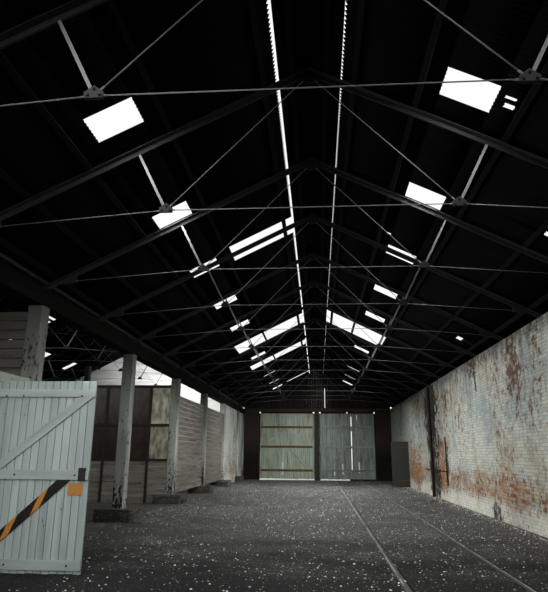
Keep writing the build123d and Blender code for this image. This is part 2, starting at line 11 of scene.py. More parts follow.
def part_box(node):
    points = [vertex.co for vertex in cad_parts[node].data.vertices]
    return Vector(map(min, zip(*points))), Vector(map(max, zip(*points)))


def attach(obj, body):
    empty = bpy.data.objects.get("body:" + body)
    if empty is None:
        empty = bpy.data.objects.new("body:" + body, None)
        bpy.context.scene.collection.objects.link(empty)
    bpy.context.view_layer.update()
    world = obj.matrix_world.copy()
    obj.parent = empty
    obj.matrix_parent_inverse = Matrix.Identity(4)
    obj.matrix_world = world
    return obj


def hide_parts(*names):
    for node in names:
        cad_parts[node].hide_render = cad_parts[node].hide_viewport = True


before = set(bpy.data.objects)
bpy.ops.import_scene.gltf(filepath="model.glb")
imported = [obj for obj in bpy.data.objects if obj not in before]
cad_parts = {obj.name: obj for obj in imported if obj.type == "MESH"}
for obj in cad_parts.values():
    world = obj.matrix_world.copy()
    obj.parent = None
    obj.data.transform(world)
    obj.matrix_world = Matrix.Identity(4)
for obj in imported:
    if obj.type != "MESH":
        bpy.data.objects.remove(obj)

bl_info = {
    "name": "Goods Shed",
    "version": (1, 0, 0),
    "blender": (4, 5, 0),
    "location": "3D View > Sidebar > Goods Shed",
    "description": "Sheets, bricks, boards, doors, finishes and light of a derelict goods shed",
    "category": "Add Mesh",
}

# The shed in metres, as the frame has it. The arcade line is x = 0, +Y runs down the nave.
NEAR_Y, FAR_Y, SIDE_FAR_Y = -18.84, 18.84, 11.304
NAVE_AXIS, HALF_SPAN, BAY = 4.74, 4.6, 2.512
WALL_FACE, WALL_THICK, WALL_TOP = 9.34, 0.30, 4.433
END_WALLS = (NEAR_Y - WALL_THICK, NEAR_Y), (FAR_Y, FAR_Y + WALL_THICK)
FLOOR_TOP, PLINTH_TOP, POST_TOP = 0.12, 0.4, 4.12
POST_HALF, POST_YS = 0.14, [-13.816 + 5.024 * k for k in range(7)]

# Roof: rise for each metre out, underside of the rafters at the ridge, thickness of a gable,
# underside of the sheets square above the rafters', overhang, and lowest edges out of the ridge
RISE, RIDGE_Z, GABLE = 0.5, 6.733, 0.06
LEAN = cos(atan(RISE))
SHEET_BASE, SHEET_OVERHANG, EAVES_OUT, VALLEY_OUT = 0.138, 0.2, 4.98, 4.66

# Where the rooflights begin and end along Y, the number of the one that is gone, and for the
# right (1) and left (-1) slopes the edges of the bands of sheets, out from the ridge. Rooflights
# lie in the band between the second edge and the third.
ROOFLIGHTS = [(NEAR_Y + 3.615 + 2.975 * k, NEAR_Y + 4.145 + 2.975 * k) for k in range(12)]
LOST_ROOFLIGHT = 8
BAND_EDGES = {1: (0.464, 1.64, 2.22, 2.5), -1: (0.464, 2.13, 2.70, 2.95)}

# Trusses: thickness of the web and of a cheek plate, the nodes of the ties and their feet, out
# from the ridge, in height and below the rafter, and how far a tie stops short of its points
TRUSS_IRON, CHEEK = 0.020, 0.010
TIE_OUT, TIE_Z, TIE_FOOT_OUT, TIE_FOOT_GAP = 1.889, 4.77, 4.21, 0.041
NODE_CLEAR, APEX_CLEAR = 0.034, 0.08

# Doorways of the ends: foot of the lintel, half the width, half the centre post. Then the head
# of the side doorway, and the hinge and frame of the doorway in the arcade, as places along Y
LINTEL_FOOT, DOORWAY_HALF, CENTRE_HALF = 4.24, 3.64, 0.15
SIDE_DOORWAY_HEAD = 2.33
ARCADE_HINGE, ARCADE_DOOR, DOOR_POST = (0.084, -10.13), (-11.89, -9.98), 0.14

# Window partition: posts out from the arcade, half their width, depth and feet of the rails
WINDOW_POSTS = [-0.81 - 0.75 * k for k in range(12)]
MULLION_HALF, WINDOW_RAIL = 0.045, 0.09
SILL, TRANSOM, WINDOW_HEAD = 1.41, 2.53, 3.81

# Leaves: gap behind the boards of the arcade's leaf, thickness of boards, hinges of the far
# leaves out from the nave's axis, and their rails as (height of the middle, half the depth)
LEAF_BACK, LEAF_BOARDS, FAR_HINGE_OUT = 0.017, 0.032, 3.616
RAIL_INSET, FAR_RAILS = 0.16, [(z, 0.065) for z in (0.69, 2.1, 3.29)]
FAR_BRACE, ARCADE_BRACE = 0.11, 0.12

# Widths of the other boards
ARCADE_BOARD, PANEL_BOARD, ARCADE_LEAF_BOARD, SIDE_LEAF_BOARD = 0.17, 0.16, 0.105, 0.12

SHEET_FINISHES = "sheet_outside sheet_underside"
BRICK_FINISHES = ("brick_washed mortar_washed brick_bare mortar_bare brick_sooty brick_stained "
                  "mortar_stained")
RGBA = {"data_type": "RGBA"}


def linear(code):
    """'#RRGGBB' as it looks on screen to the linear colour that a shader takes."""
    parts = [int(code[i:i + 2], 16) / 255 for i in (1, 3, 5)]
    return (*(p / 12.92 if p <= 0.04045 else ((p + 0.055) / 1.055) ** 2.4 for p in parts), 1.0)


def colour(label, about, code):
    return FloatVectorProperty(name=label, description=about, subtype="COLOR", size=4, min=0.0,
                               max=1.0, default=linear(code))


def length(label, about, value):
    return FloatProperty(name=label, description=about, unit="LENGTH", min=0.0, default=value)


def power(label, about, value):
    return FloatProperty(name=label, description=about, unit="POWER", default=value)


class ShedSizes(bpy.types.PropertyGroup):
    """Sizes of the detail that the frame doesn't carry."""
    brick_length: length("Brick length", "Stretcher and one joint", 0.225)
    course: length("Course", "Brick height and one joint", 0.075)
    joint: length("Mortar joint", "Width of the joint between bricks", 0.010)
    relief: length("Brick relief", "How far bricks stand out of the mortar", 0.008)
    wave: length("Corrugation pitch", "Crest to crest of the roof sheets", 0.076)
    wave_depth: length("Corrugation depth", "Valley to crest of the roof sheets", 0.018)
    sheet: length("Sheet thickness", "Thickness of the corrugated iron", 0.002)
    sheet_width: length("Sheet cover", "Width that each roof sheet covers", 0.608)
    wide_board: length("Gable board", "Width of gable and partition boards", 0.165)
    leaf_board: length("Leaf board", "Width of the boards of the doors", 0.125)
    rod: length("Tie rod", "Diameter of the truss ties", 0.013)
    bolt: length("Bolt", "Across the flats of truss bolts", 0.026)
    chips: IntProperty(name="Debris", description="Number of loose chips on the floor",
                       min=0, default=26000)
    rooflight_power: power("Rooflight lamps", "Power of the lamp in each rooflight", 36.0)
    lamp_power: power("Near lamp", "Power of the lamp behind the camera", 78.0)


class ShedColours(bpy.types.PropertyGroup):
    """Colours of the finishes, as they look on screen."""
    limewash: colour("Limewash", "Wall and post paint", "#B4B9B0")
    leaf_green: colour("Leaf green", "Pale green door paint", "#B2C0AC")
    leaf_white: colour("Leaf white", "Foreground door paint", "#9DA9A6")
    brick: colour("Brick", "Ordinary bricks", "#7D5441")
    brick_dark: colour("Burnt brick", "Dark bricks", "#40251E")
    mortar: colour("Mortar", "Lime mortar", "#8A8478")
    bare_wood: colour("Bare wood", "Greyed timber", "#5A5145")
    sooty_wood: colour("Sooty wood", "Roof and frame timber", "#1C1917")
    iron: colour("Iron", "Old painted ties and struts", "#6E7072")
    rust: colour("Rust", "Rust", "#5E3420")
    zinc: colour("Zinc", "Weathered sheeting", "#8B8F90")
    soot: colour("Soot", "Underside of the sheeting", "#060606")
    concrete: colour("Concrete", "Worn floor", "#2E2E2B")
    grit: colour("Grit", "Loose chips", "#8D8E86")
    pane: colour("Pane", "Dirty glass", "#3A2C22")
    hazard: colour("Hazard amber", "Stripe on the brace and latch plate", "#A9712C")


# Meshes

class Shell:
    """Points and faces gathered as whole arrays until they become one mesh."""

    def __init__(self):
        self.points, self.faces, self.run = [], [], []
        self.tone, self.finish, self.smooth = [], [], []
        self.count = 0

    def add(self, points, groups, run=None):
        """Adds points and groups of faces on them. A group is an (m, k) array of faces, their
        tone, their finish and whether they are smooth. `run` has two numbers for each point."""
        points = np.asarray(points, float).reshape(-1, 3)
        run = points[:, :2] if run is None else np.asarray(run, float).reshape(-1, 2)
        for faces, tone, finish, smooth in groups:
            faces = np.asarray(faces, int)
            self.faces.append(faces + self.count)
            self.run.append(run[faces])
            self.tone.append(np.broadcast_to(tone, len(faces)).astype(float))
            self.finish.append(np.full(len(faces), finish))
            self.smooth.append(np.full(len(faces), smooth))
        self.points.append(points)
        self.count += len(points)

    def make(self, name, finishes, nodes, body):
        """One mesh object at the origin, riding on `body` in place of `nodes`."""
        mesh = bpy.data.meshes.new(name)
        points = np.concatenate(self.points)
        sizes = np.concatenate([np.full(len(f), f.shape[1]) for f in self.faces])
        corners = np.concatenate([f.ravel() for f in self.faces])
        mesh.vertices.add(len(points))
        mesh.vertices.foreach_set("co", points.ravel())
        mesh.loops.add(len(corners))
        mesh.loops.foreach_set("vertex_index", corners)
        mesh.polygons.add(len(sizes))
        mesh.polygons.foreach_set("loop_start", np.cumsum(sizes) - sizes)
        mesh.polygons.foreach_set("material_index", np.concatenate(self.finish))
        mesh.polygons.foreach_set("use_smooth", np.concatenate(self.smooth))
        mesh.update(calc_edges=True)
        tone = mesh.attributes.new("tone", "FLOAT", "FACE")
        tone.data.foreach_set("value", np.concatenate(self.tone))
        run = mesh.uv_layers.new(name="run")
        run.data.foreach_set("uv", np.concatenate([r.reshape(-1, 2) for r in self.run]).ravel())
        if mesh.validate():
            raise RuntimeError(f"{name} has faces that aren't valid")
        for finish in finishes:
            mesh.materials.append(bpy.data.materials[finish])
        obj = bpy.data.objects.new(name, mesh)
        bpy.context.scene.collection.objects.link(obj)
        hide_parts(*nodes)
        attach(obj, body)


@contextmanager
def piece(name, finishes, nodes, slot, body="building"):
    """A shell that becomes one mesh object when its block ends. `finishes` and `nodes` are names
    with spaces between them."""
    shell = Shell()
    yield shell
    shell.make(name, finishes.split(), nodes.split(), body)


def beams(shell, origin, axes, starts, ends, foot, head, thickness, rng, joint=0.004, rings=1,
          wear=0.0, finish=0):
    """Timbers side by side: an eight-sided section, the rectangle (end - start) x thickness with
    its long edges cut off by `joint`, carried from `foot` to `head`. `axes` are the directions
    across, through and along. `foot` and `head` have a value for each side of each timber, and
    `wear` draws the section in by a random share at each of the rings."""
    axes = np.array(axes, float)
    starts, ends = np.atleast_1d(starts).astype(float), np.atleast_1d(ends).astype(float)
    n = len(starts)
    foot = np.broadcast_to(foot, (n, 2)).astype(float)
    head = np.broadcast_to(head, (n, 2)).astype(float)
    side = np.array([0, 1, 1, 1, 1, 0, 0, 0]), np.array([1, -1, 0, 0, -1, 1, 0, 0])
    deep = np.array([0, 0, 0, 1, 1, 1, 1, 0]), np.array([0, 0, 1, -1, 0, 0, -1, 1])
    width = (ends - starts)[:, None]
    a = starts[:, None] + width * side[0] + joint * side[1]
    t = np.broadcast_to(thickness * deep[0] + joint * deep[1], (n, 8))
    share = (a - starts[:, None]) / width
    step = np.linspace(0, 1, rings + 1)[None, :, None]
    low = foot[:, :1] + (foot[:, 1:] - foot[:, :1]) * share
    high = head[:, :1] + (head[:, 1:] - head[:, :1]) * share
    b = low[:, None] + (high - low)[:, None] * step
    pull = 1 - 2 * wear * rng.random((n, rings + 1, 8)) / np.minimum(width, thickness)[..., None]
    mid = ((starts + ends) / 2)[:, None, None]
    a = mid + (a[:, None] - mid) * pull
    t = thickness / 2 + (t[:, None] - thickness / 2) * pull
    points = np.stack([a, t, b], -1) @ axes + np.array(origin, float)
    start = rng.random((n, 2)) * 40
    run = np.stack([a + t + start[:, :1, None], b + start[:, 1:, None]], -1)
    ring = np.arange(8)
    base = (np.arange(n)[:, None, None] * (rings + 1) + np.arange(rings)[None, :, None]) * 8
    quads = np.stack([base + ring, base + (ring + 1) % 8, base + 8 + (ring + 1) % 8,
                      base + 8 + ring], -1).reshape(-1, 4)
    first = np.arange(n)[:, None] * (rings + 1) * 8
    caps = np.concatenate([first + ring[::-1], first + rings * 8 + ring])
    if np.linalg.det(axes) < 0:
        quads, caps = quads[:, ::-1], caps[:, ::-1]
    tone = rng.random(n)
    shell.add(points, [(quads, np.repeat(tone, rings * 8), finish, False),
                       (caps, np.tile(tone, 2), finish, False)], run)


def planks(shell, box, run, lay, pitch, rng, gap=0.0015, slack=0.002, ragged=0.0, ends=None,
           **kind):
    """Boards that fill a box: they run along axis `run` and lie side by side along axis `lay`,
    about `pitch` wide. `ends` gives (foot, head) for places along `lay` where they aren't level,
    and `ragged` shortens each foot by up to that much."""
    low, high = (np.array(corner, float) for corner in box)
    through = 3 - run - lay
    n = max(1, round((high[lay] - low[lay]) / pitch))
    edges = np.linspace(low[lay], high[lay], n + 1)
    foot, head = np.full((n, 2), low[run]), np.full((n, 2), high[run])
    if ends:
        limits = np.array([ends(place) for place in edges])
        foot, head = (np.stack([line[:-1], line[1:]], 1) for line in limits.T)
    foot = foot + rng.random((n, 1)) * ragged
    origin = np.zeros(3)
    origin[through] = low[through] + slack / 2
    beams(shell, origin, np.eye(3)[[lay, through, run]], edges[:-1] + gap / 2, edges[1:] - gap / 2,
          foot, head, high[through] - low[through] - slack, rng, **kind)


def timber(shell, box, run, rng, joint=0.005, rings=1, wear=0.0, finish=0):
    """One squared timber that fills a box and runs along axis `run`."""
    planks(shell, box, run, (run + 1) % 3, 1e3, rng, gap=0, slack=0, joint=joint, rings=rings,
           wear=wear, finish=finish)


def brickwork(shell, origin, axes, width, height, rng, sizes, finish, spalled=0.03):
    """Bricks on a wall's core: each is a low frustum, its base set in by half a joint and its top
    by a little more, as deep as the relief less a random share. Every fourth course is headers,
    the others are stretchers moved on by half a brick. `axes` are across, up and out."""
    axes = np.array(axes, float)
    for headers in (False, True):
        rows = np.arange(round(height / sizes.course))
        rows = rows[(rows % 4 == 3) == headers]
        pitch = sizes.brick_length / (2 if headers else 1)
        row, place = np.meshgrid(rows, np.arange(int(width / pitch) + 2), indexing="ij")
        left = (place - 1 + 0.5 * (row % 2)) * pitch
        a1, a2 = np.clip(left, 0, width).ravel(), np.clip(left + pitch, 0, width).ravel()
        z1 = (row * sizes.course).ravel()
        keep = a2 - a1 > sizes.joint * 3
        a1, a2, z1 = a1[keep], a2[keep], z1[keep]
        n = len(a1)
        z2 = np.minimum(z1 + sizes.course, height)
        out = sizes.relief * (1 - 0.35 * rng.random(n))
        out[rng.random(n) < spalled] *= 0.35
        half, chamfer = sizes.joint / 2, 0.002
        corners = []
        for inset, depth in ((half, np.zeros(n)), (half + chamfer, out)):
            for a, z in ((a1 + inset, z1 + inset), (a2 - inset, z1 + inset),
                         (a2 - inset, z2 - inset), (a1 + inset, z2 - inset)):
                corners.append(np.stack([a, z, depth], -1))
        points = np.stack(corners, 1) @ axes + np.array(origin, float)
        pattern = np.array([[4, 5, 6, 7], [0, 1, 5, 4], [1, 2, 6, 5], [2, 3, 7, 6], [3, 0, 4, 7]])
        faces = (np.arange(n)[:, None, None] * 8 + pattern).reshape(-1, 4)
        if np.linalg.det(axes) < 0:
            faces = faces[:, ::-1]
        shell.add(points, [(faces, np.repeat(rng.random(n), 5), finish, False)])


def wall(shell, box, sides, rng, sizes, finishes, laid=None, core=True):
    """A brick wall that fills a box: a core of mortar, set back by the relief, and brickwork on
    the sides named '-x', '+x', '-y' or '+y'. `finishes` gives (brick, core) for each side. Only
    the bricks of the `laid` sides are made, and the core only if `core` is true."""
    low, high = np.array(box, float)
    inner = np.array(box, float)
    for side in sides:
        end = side[0] == "+"
        inner[int(end), "xy".index(side[1])] += -sizes.relief if end else sizes.relief
    x, y, z = inner.T
    corners = np.array([(a, b, c) for a in x for b in y for c in z])
    faces = {"-x": (0, 1, 3, 2), "+x": (4, 6, 7, 5), "-y": (0, 4, 5, 1), "+y": (2, 3, 7, 6),
             "-z": (0, 2, 6, 4), "+z": (1, 5, 7, 3)}
    if core:
        shell.add(corners, [([face], 0.5, finishes.get(side, finishes["+z"])[1], False)
                            for side, face in faces.items()])
    for side in sides if laid is None else laid:
        axis, end = "xy".index(side[1]), side[0] == "+"
        across = 1 - axis
        origin, out = low.copy(), np.zeros(3)
        origin[axis], out[axis] = inner[int(end), axis], 1 if end else -1
        brickwork(shell, origin, [np.eye(3)[across], (0, 0, 1), out], high[across] - low[across],
                  high[2] - low[2], rng, sizes, finishes[side][0])


def slope_z(out, lift=0.0):
    """Height of a roof slope `out` from its ridge, `lift` square above the rafters' underside."""
    return RIDGE_Z - RISE * out + lift / LEAN


def cut(sheets, hole):
    """The rectangles (y1, y2, u1, u2) with `hole` taken out of each."""
    a, b, c, d = hole
    left = []
    for y1, y2, u1, u2 in sheets:
        if b <= y1 or a >= y2 or d <= u1 or c >= u2:
            left.append((y1, y2, u1, u2))
            continue
        span = max(a, y1), min(b, y2)
        for there, part in ((a > y1, (y1, a, u1, u2)), (b < y2, (b, y2, u1, u2)),
                            (c > u1, (*span, u1, c)), (d < u2, (*span, d, u2))):
            if there:
                left.append(part)
    return left


def thin_sheet(shell, lines, tones, run, way=1):
    """A thin closed sheet between four lines of n points: the two edges of its underside, then
    those of its top. Outside is finish 0, underside finish 1. `way` -1 turns the faces round."""
    n = len(lines[0])
    j, m = np.arange(n - 1), n - 1
    under_in, under_out, top_in, top_out = (j + k * n for k in range(4))
    groups = [((top_in, top_out, top_out + 1, top_in + 1), tones, 0, True),
              ((under_in, under_in + 1, under_out + 1, under_out), tones, 1, True),
              ((under_in, top_in, top_in + 1, under_in + 1), tones, 0, False),
              ((under_out, under_out + 1, top_out + 1, top_out), tones, 0, False),
              (([0, m], [n, 2 * n + m], [3 * n, 3 * n + m], [2 * n, n + m]), 0.5, 0, False)]
    shell.add(np.concatenate(lines),
              [(np.stack(faces, -1)[:, ::way], *facts) for faces, *facts in groups], run)


def corrugated(shell, axis, side, patch, rng, sizes, teeth):
    """A patch of corrugated iron. Its underside is base + depth * (1 + cos(2 pi y / pitch)) / 2
    above the purlins' line, sampled four times a wave, and its top is the sheet's thickness
    above that. Its upper edge is u1 less a share of `teeth` that follows the same wave."""
    y1, y2, u1, u2 = patch
    step = sizes.wave / 4
    inner = np.arange(np.floor(y1 / step) + 1, np.ceil(y2 / step)) * step
    y = np.concatenate([[y1], inner[(inner > y1 + 1e-4) & (inner < y2 - 1e-4)], [y2]])
    swell = (1 + np.cos(2 * np.pi * y / sizes.wave)) / 2
    lift = SHEET_BASE + 0.001 + sizes.wave_depth * swell
    lines = [np.stack([axis + side * u, y, slope_z(u, lift + thick)], -1)
             for thick in (0, sizes.sheet) for u in (u1 - teeth * swell, np.full(len(y), u2))]
    tones = rng.random(80)[(np.floor((y[:-1] - NEAR_Y) / sizes.sheet_width)).astype(int) % 80]
    run = np.stack([np.tile(y, 4), np.repeat((u1, u2, u1, u2), len(y))], -1)
    thin_sheet(shell, lines, tones, run, side)


def rods(shell, starts, ends, radius, sides, smooth=True):
    """Round bars between pairs of points, each a prism with `sides` sides."""
    starts, ends = np.asarray(starts, float), np.asarray(ends, float)
    along = ends - starts
    along /= np.linalg.norm(along, axis=1, keepdims=True)
    across = np.cross(along, np.where(np.abs(along[:, 1:2]) > 0.9, (1.0, 0, 0), (0, 1.0, 0)))
    across /= np.linalg.norm(across, axis=1, keepdims=True)
    third = np.cross(along, across)
    angle = (np.arange(sides) * 2 * np.pi / sides)[:, None]
    ring = radius * (np.cos(angle) * across[:, None] + np.sin(angle) * third[:, None])
    points = np.stack([starts[:, None] + ring, ends[:, None] + ring], 1)
    n, k = len(starts), np.arange(sides)
    base = np.arange(n)[:, None] * 2 * sides
    quads = np.stack([base + k, base + (k + 1) % sides, base + sides + (k + 1) % sides,
                      base + sides + k], -1).reshape(-1, 4)
    shell.add(points, [(quads, 0.5, 0, smooth), (base + k[::-1], 0.5, 0, False),
                       (base + sides + k, 0.5, 0, False)])


# Finishes

def add(tree, kind, sockets=(), out=None, **settings):
    """Adds one shader node and returns an output socket of it. `sockets` gives its inputs by
    name, or in the order in which the node shows them, where None leaves one as it is. Each is a
    value, a colour as '#RRGGBB', or the socket to link."""
    node = tree.nodes.new("ShaderNode" + kind)
    for key, value in settings.items():
        setattr(node, key, value)
    shown = [s for s in node.inputs if s.enabled]
    if isinstance(sockets, dict):
        given = [(next(s for s in shown if s.name == key), v) for key, v in sockets.items()]
    else:
        given = zip(shown, sockets)
    for socket, value in given:
        if isinstance(value, bpy.types.NodeSocket):
            tree.links.new(value, socket)
        elif value is not None:
            socket.default_value = linear(value) if isinstance(value, str) else value
    found = [s for s in node.outputs if s.enabled and out in (None, s.name)]
    return found[0] if found else None


def surface(name, recipe, *facts):
    """Makes a material from a recipe, which adds nodes with the function that it is given, and
    returns the inputs of the one Principled shader, with the relief as 'Bump': (height, depth in
    metres, strength)."""
    if name in bpy.data.materials:
        raise RuntimeError(f"a material is already called {name}")
    material = bpy.data.materials.new(name)
    material.use_nodes = True
    tree = material.node_tree
    tree.nodes.clear()
    sockets = recipe(partial(add, tree), *facts)
    if "Bump" in sockets:
        height, depth, strength = sockets.pop("Bump")
        sockets["Normal"] = add(tree, "Bump", {"Height": height, "Distance": depth,
                                               "Strength": strength})
    add(tree, "OutputMaterial", {"Surface": add(tree, "BsdfPrincipled", sockets)})


def coats(node, base, *layers):
    """Lays coats over a colour, each as (share, colour). The share is a socket, or (value, bare,
    full, most): no coat where the value is at `bare`, and `most` of it where it is at `full`."""
    for share, paint in layers:
        if isinstance(share, tuple):
            value, bare, full, *most = share
            share = node("MapRange", (value, bare, full, 0.0, *most))
        base = node("Mix", (share, base, paint), **RGBA)
    return base


def boarding(node, paint, bare, peel, grime, foot=0.0, gloss=0.3, soot=0.0):
    """Painted boards. Gives the eye flakes of lost paint drawn out along the grain, greyed grain
    under them, a slightly different shade on each board and long dirty runs. `foot` is how much
    more paint is gone near the floor and `soot` is how dark the top gets, soot and painted shade
    together."""
    run = node("UVMap", uv_map="run")
    tone = node("Attribute", out="Fac", attribute_name="tone")
    grain, flake, smear = (
        node("TexNoise", (node("Mapping", {"Vector": run, "Scale": (*stretch, 1)}), 1.0, *detail))
        for stretch, detail in (((160, 5), (4.0, 0.6)), ((20, 8), (9.0, 0.68)), ((7, 0.8), (5.0,))))
    height = node("SeparateXYZ", (node("TexCoord", out="Object"),), out="Z")
    patchy = node("Math", (flake, 2.0, node("Math", (smear, 1.0), operation="SUBTRACT")),
                  operation="MULTIPLY_ADD")
    worn = node("Math", (patchy, node("MapRange", (height, 1.5, 0.5, 0.0, foot))))
    lost = node("MapRange", (worn, 0.98 - peel, 1.02 - peel))
    wood = node("Mix", (grain, bare, "#27221D"), **RGBA)
    shade = node("MapRange", (tone, 0.0, 1.0, 0.88, 1.05))
    painted = node("HueSaturation", {"Color": paint, "Value": shade})
    return {
        "Base Color": coats(node, painted, ((smear, 0.35, 0.75, grime), "#312E28"),
                            # The top coat darkens boards towards the top: soot and painted shade
                            # where less light reaches
                            ((height, 2.3, 4.0, soot), "#1C1A18"), (lost, wood)),
        "Roughness": node("MapRange", (lost, 0.0, 1.0, 0.6, 0.9)),
        "Specular IOR Level": gloss,
        "Bump": (node("Math", (grain, lost), operation="SUBTRACT"), 0.0012, 0.7),
    }


def plain_timber(node, light, dark):
    """Sooty sawn timber of the roof and frame. Gives the eye coarse streaks and a dusty bloom."""
    place = node("TexCoord", out="Object")
    streak = node("TexNoise", (
        node("Mapping", {"Vector": place, "Scale": (60, 1.5, 60)}), 1.0, 5.0))
    bloom = node("TexNoise", (place, 1.3, 6.0))
    mixed = node("Math", (streak, bloom), operation="MULTIPLY")
    return {
        "Base Color": coats(node, dark, ((mixed, 0.15, 0.45), light)),
        "Roughness": 0.9,
        "Specular IOR Level": 0.06,
        "Bump": (streak, 0.002, 0.6),
    }


def blot(node, place, spots):
    """Sum of ragged ovals on the wall that faces x, each (y, z, half width, half height, weight).
    An oval is 0 outside and rises to its weight inside."""
    if not spots:
        return 0.0
    total = 0.0
    shake = node("TexNoise", (place, 2.6, 8.0, 0.7))
    for y, z, wide, high, weight in spots:
        centred = node("Mapping", {"Vector": place, "Scale": (0, 1 / wide, 1 / high),
                                   "Location": (0, -y / wide, -z / high)})
        size = node("VectorMath", (centred,), out="Value", operation="LENGTH")
        far = node("Math", (shake, 3.2, node("Math", (size, 1.6), operation="SUBTRACT")),
                   operation="MULTIPLY_ADD")
        oval = node("MapRange", (far, 1.25, 0.7, 0.0, weight), interpolation_type="SMOOTHSTEP")
        total = node("Math", (oval, total))
    return total


def brick_face(node, light, dark, paint, cover, grime, foot=0.3, spots=(), damp=()):
    """Old brickwork, limewashed or bare. Gives the eye a different shade on each brick, wash that
    has come off in ragged patches and in a band above the floor, a brown film round them, blue
    and ochre tints in it, specks, darkening under the eaves and dirt run down from there. `spots`
    are places where more wash has gone, and `damp` are places that are black with damp."""
    place = node("TexCoord", out="Object")
    tone = node("Attribute", out="Fac", attribute_name="tone")
    big = node("TexNoise", (place, 0.42, 5.0, 0.55))
    rough = node("TexNoise", (place, 4.6, 12.0, 0.76))
    ragged = node("MapRange", (rough, 0.2, 0.8, -0.1, 1.1))
    fine = node("TexNoise", (place, 45.0, 4.0))
    runs = node("TexNoise", (
        node("Mapping", {"Vector": place, "Scale": (3.2, 3.2, 0.3)}), 1.0, 8.0, 0.65))
    tint = node("TexNoise", (
        node("Mapping", {"Vector": place, "Location": (7, 3, 5)}), 0.55, 3.0))
    height = node("SeparateXYZ", (place,), out="Z")
    rise, fall = (node("MapRange", (height, *limits), interpolation_type="SMOOTHSTEP")
                  for limits in ((0.35, 0.75), (1.55, 0.95)))
    band = node("Math", (rise, fall), operation="MULTIPLY")
    eaten = node("Math", (band, foot, blot(node, place, spots)), operation="MULTIPLY_ADD")
    worn = node("Math", (node("Math", (big, ragged)), eaten))
    lost = node("MapRange", (worn, 0.74 + cover, 0.78 + cover))
    body = coats(node, dark, (tone, light), ((fine, 0.45, 0.8), "#1A1613"),
                 ((height, 1.4, 2.6, 0.72), "#3D342C"))
    tinted = coats(node, paint, ((tint, 0.5, 0.62, 0.55), "#7F8F93"),
                   ((tint, 0.48, 0.36, 0.5), "#9A937C"))
    shade = node("MapRange", (tone, 0.0, 1.0, 0.8, 1.08))
    wash = node("HueSaturation", {"Color": tinted, "Value": shade})
    powder = node("Math", (node("MapRange", (height, 1.0, 0.3)),
                           node("MapRange", (rough, 0.42, 0.58))), operation="MULTIPLY")
    dirt = node("Math", (node("MapRange", (height, 1.0, 4.2, 0.25)),
                         node("MapRange", (runs, 0.48, 0.7, 0.0, grime))), operation="MULTIPLY")
    specks = node("MapRange", (fine, 0.58, 0.68, 0.0, 0.7))
    stains = node("Math", (dirt, specks), operation="MAXIMUM")
    black = node("Math", (ragged, blot(node, place, damp)))
    # Darker towards the top of the wall, under the eaves
    eaves = node("Math", (ragged, node("MapRange", (height, 3.6, 4.4))))
    return {
        "Base Color": coats(node, wash, (powder, "#E2DED0"),
                            ((worn, 0.56 + cover, 0.76 + cover, 0.75), "#7C6650"),
                            (stains, "#3B342B"), (lost, body),
                            ((black, 1.12, 1.36, 0.92), "#15140F"),
                            ((eaves, 1.0, 1.6, 0.85), "#2A2520")),
        "Roughness": 0.88,
        "Specular IOR Level": 0.2,
        "Bump": (node("Math", (fine, lost), operation="SUBTRACT"), 0.002, 0.7),
    }


def sheeting(node, clean, rust, spread):
    """Galvanised sheeting. Gives the eye dull spangled zinc, sheets of slightly different age,
    and rust that starts at the laps and runs down the corrugations."""
    run = node("UVMap", uv_map="run")
    tone = node("Attribute", out="Fac", attribute_name="tone")
    patch, trail = (
        node("TexNoise", (node("Mapping", {"Vector": run, "Scale": (*stretch, 1)}), 1.0, *detail))
        for stretch, detail in (((1.6, 0.5), (8.0, 0.65)), ((26, 1.2), (5.0,))))
    spangle = node("TexVoronoi", (run, 70.0), out="Color")
    total = node("Math", (node("Math", (patch, trail)),
                          node("MapRange", (tone, 0.0, 1.0, 0.0, 0.18))))
    rusty = node("MapRange", (total, 1.18 - spread, 1.36 - spread))
    zinc = node("Mix", (0.14, clean, spangle), blend_type="MULTIPLY", **RGBA)
    return {
        "Base Color": coats(node, zinc, (rusty, rust)),
        "Metallic": node("MapRange", (rusty, 0.0, 1.0, 0.55, 0.0)),
        "Roughness": node("MapRange", (rusty, 0.0, 1.0, 0.5, 0.9)),
        "Bump": (trail, 0.001, 0.4),
    }


def sooty_sheet(node, soot, rust):
    """Underside of the sheeting. Gives the eye matt soot with a little rust coming through."""
    run = node("UVMap", uv_map="run")
    patch = node("TexNoise", (node("Mapping", {"Vector": run, "Scale": (3.0, 1.0, 1)}), 1.0, 8.0))
    return {
        "Base Color": coats(node, soot, ((patch, 0.5, 0.85, 0.25), rust)),
        "Roughness": 0.95,
        "Specular IOR Level": 0.05,
        "Bump": (patch, 0.002, 0.5),
    }


def ironwork(node, paint, rust, spread, shine, gloss=0.5):
    """Old painted or polished iron. Gives the eye pitted rust in patches, dust on the paint and
    a duller or brighter sheen between them. Sooty iron has hardly any gloss."""
    place = node("TexCoord", out="Object")
    patch = node("TexNoise", (place, 5.0, 9.0, 0.7))
    pits = node("TexNoise", (place, 140.0, 3.0))
    rusty = node("MapRange", (patch, 0.62 - spread, 0.72 - spread))
    return {
        "Base Color": coats(node, paint, ((pits, 0.4, 0.8, 0.5), "#272422"), (rusty, rust)),
        "Metallic": node("MapRange", (rusty, 0.0, 1.0, shine, 0.0)),
        "Roughness": node("MapRange", (rusty, 0.0, 1.0, 0.5, 0.92)),
        "Specular IOR Level": gloss,
        "Bump": (pits, 0.0008, 0.6),
    }


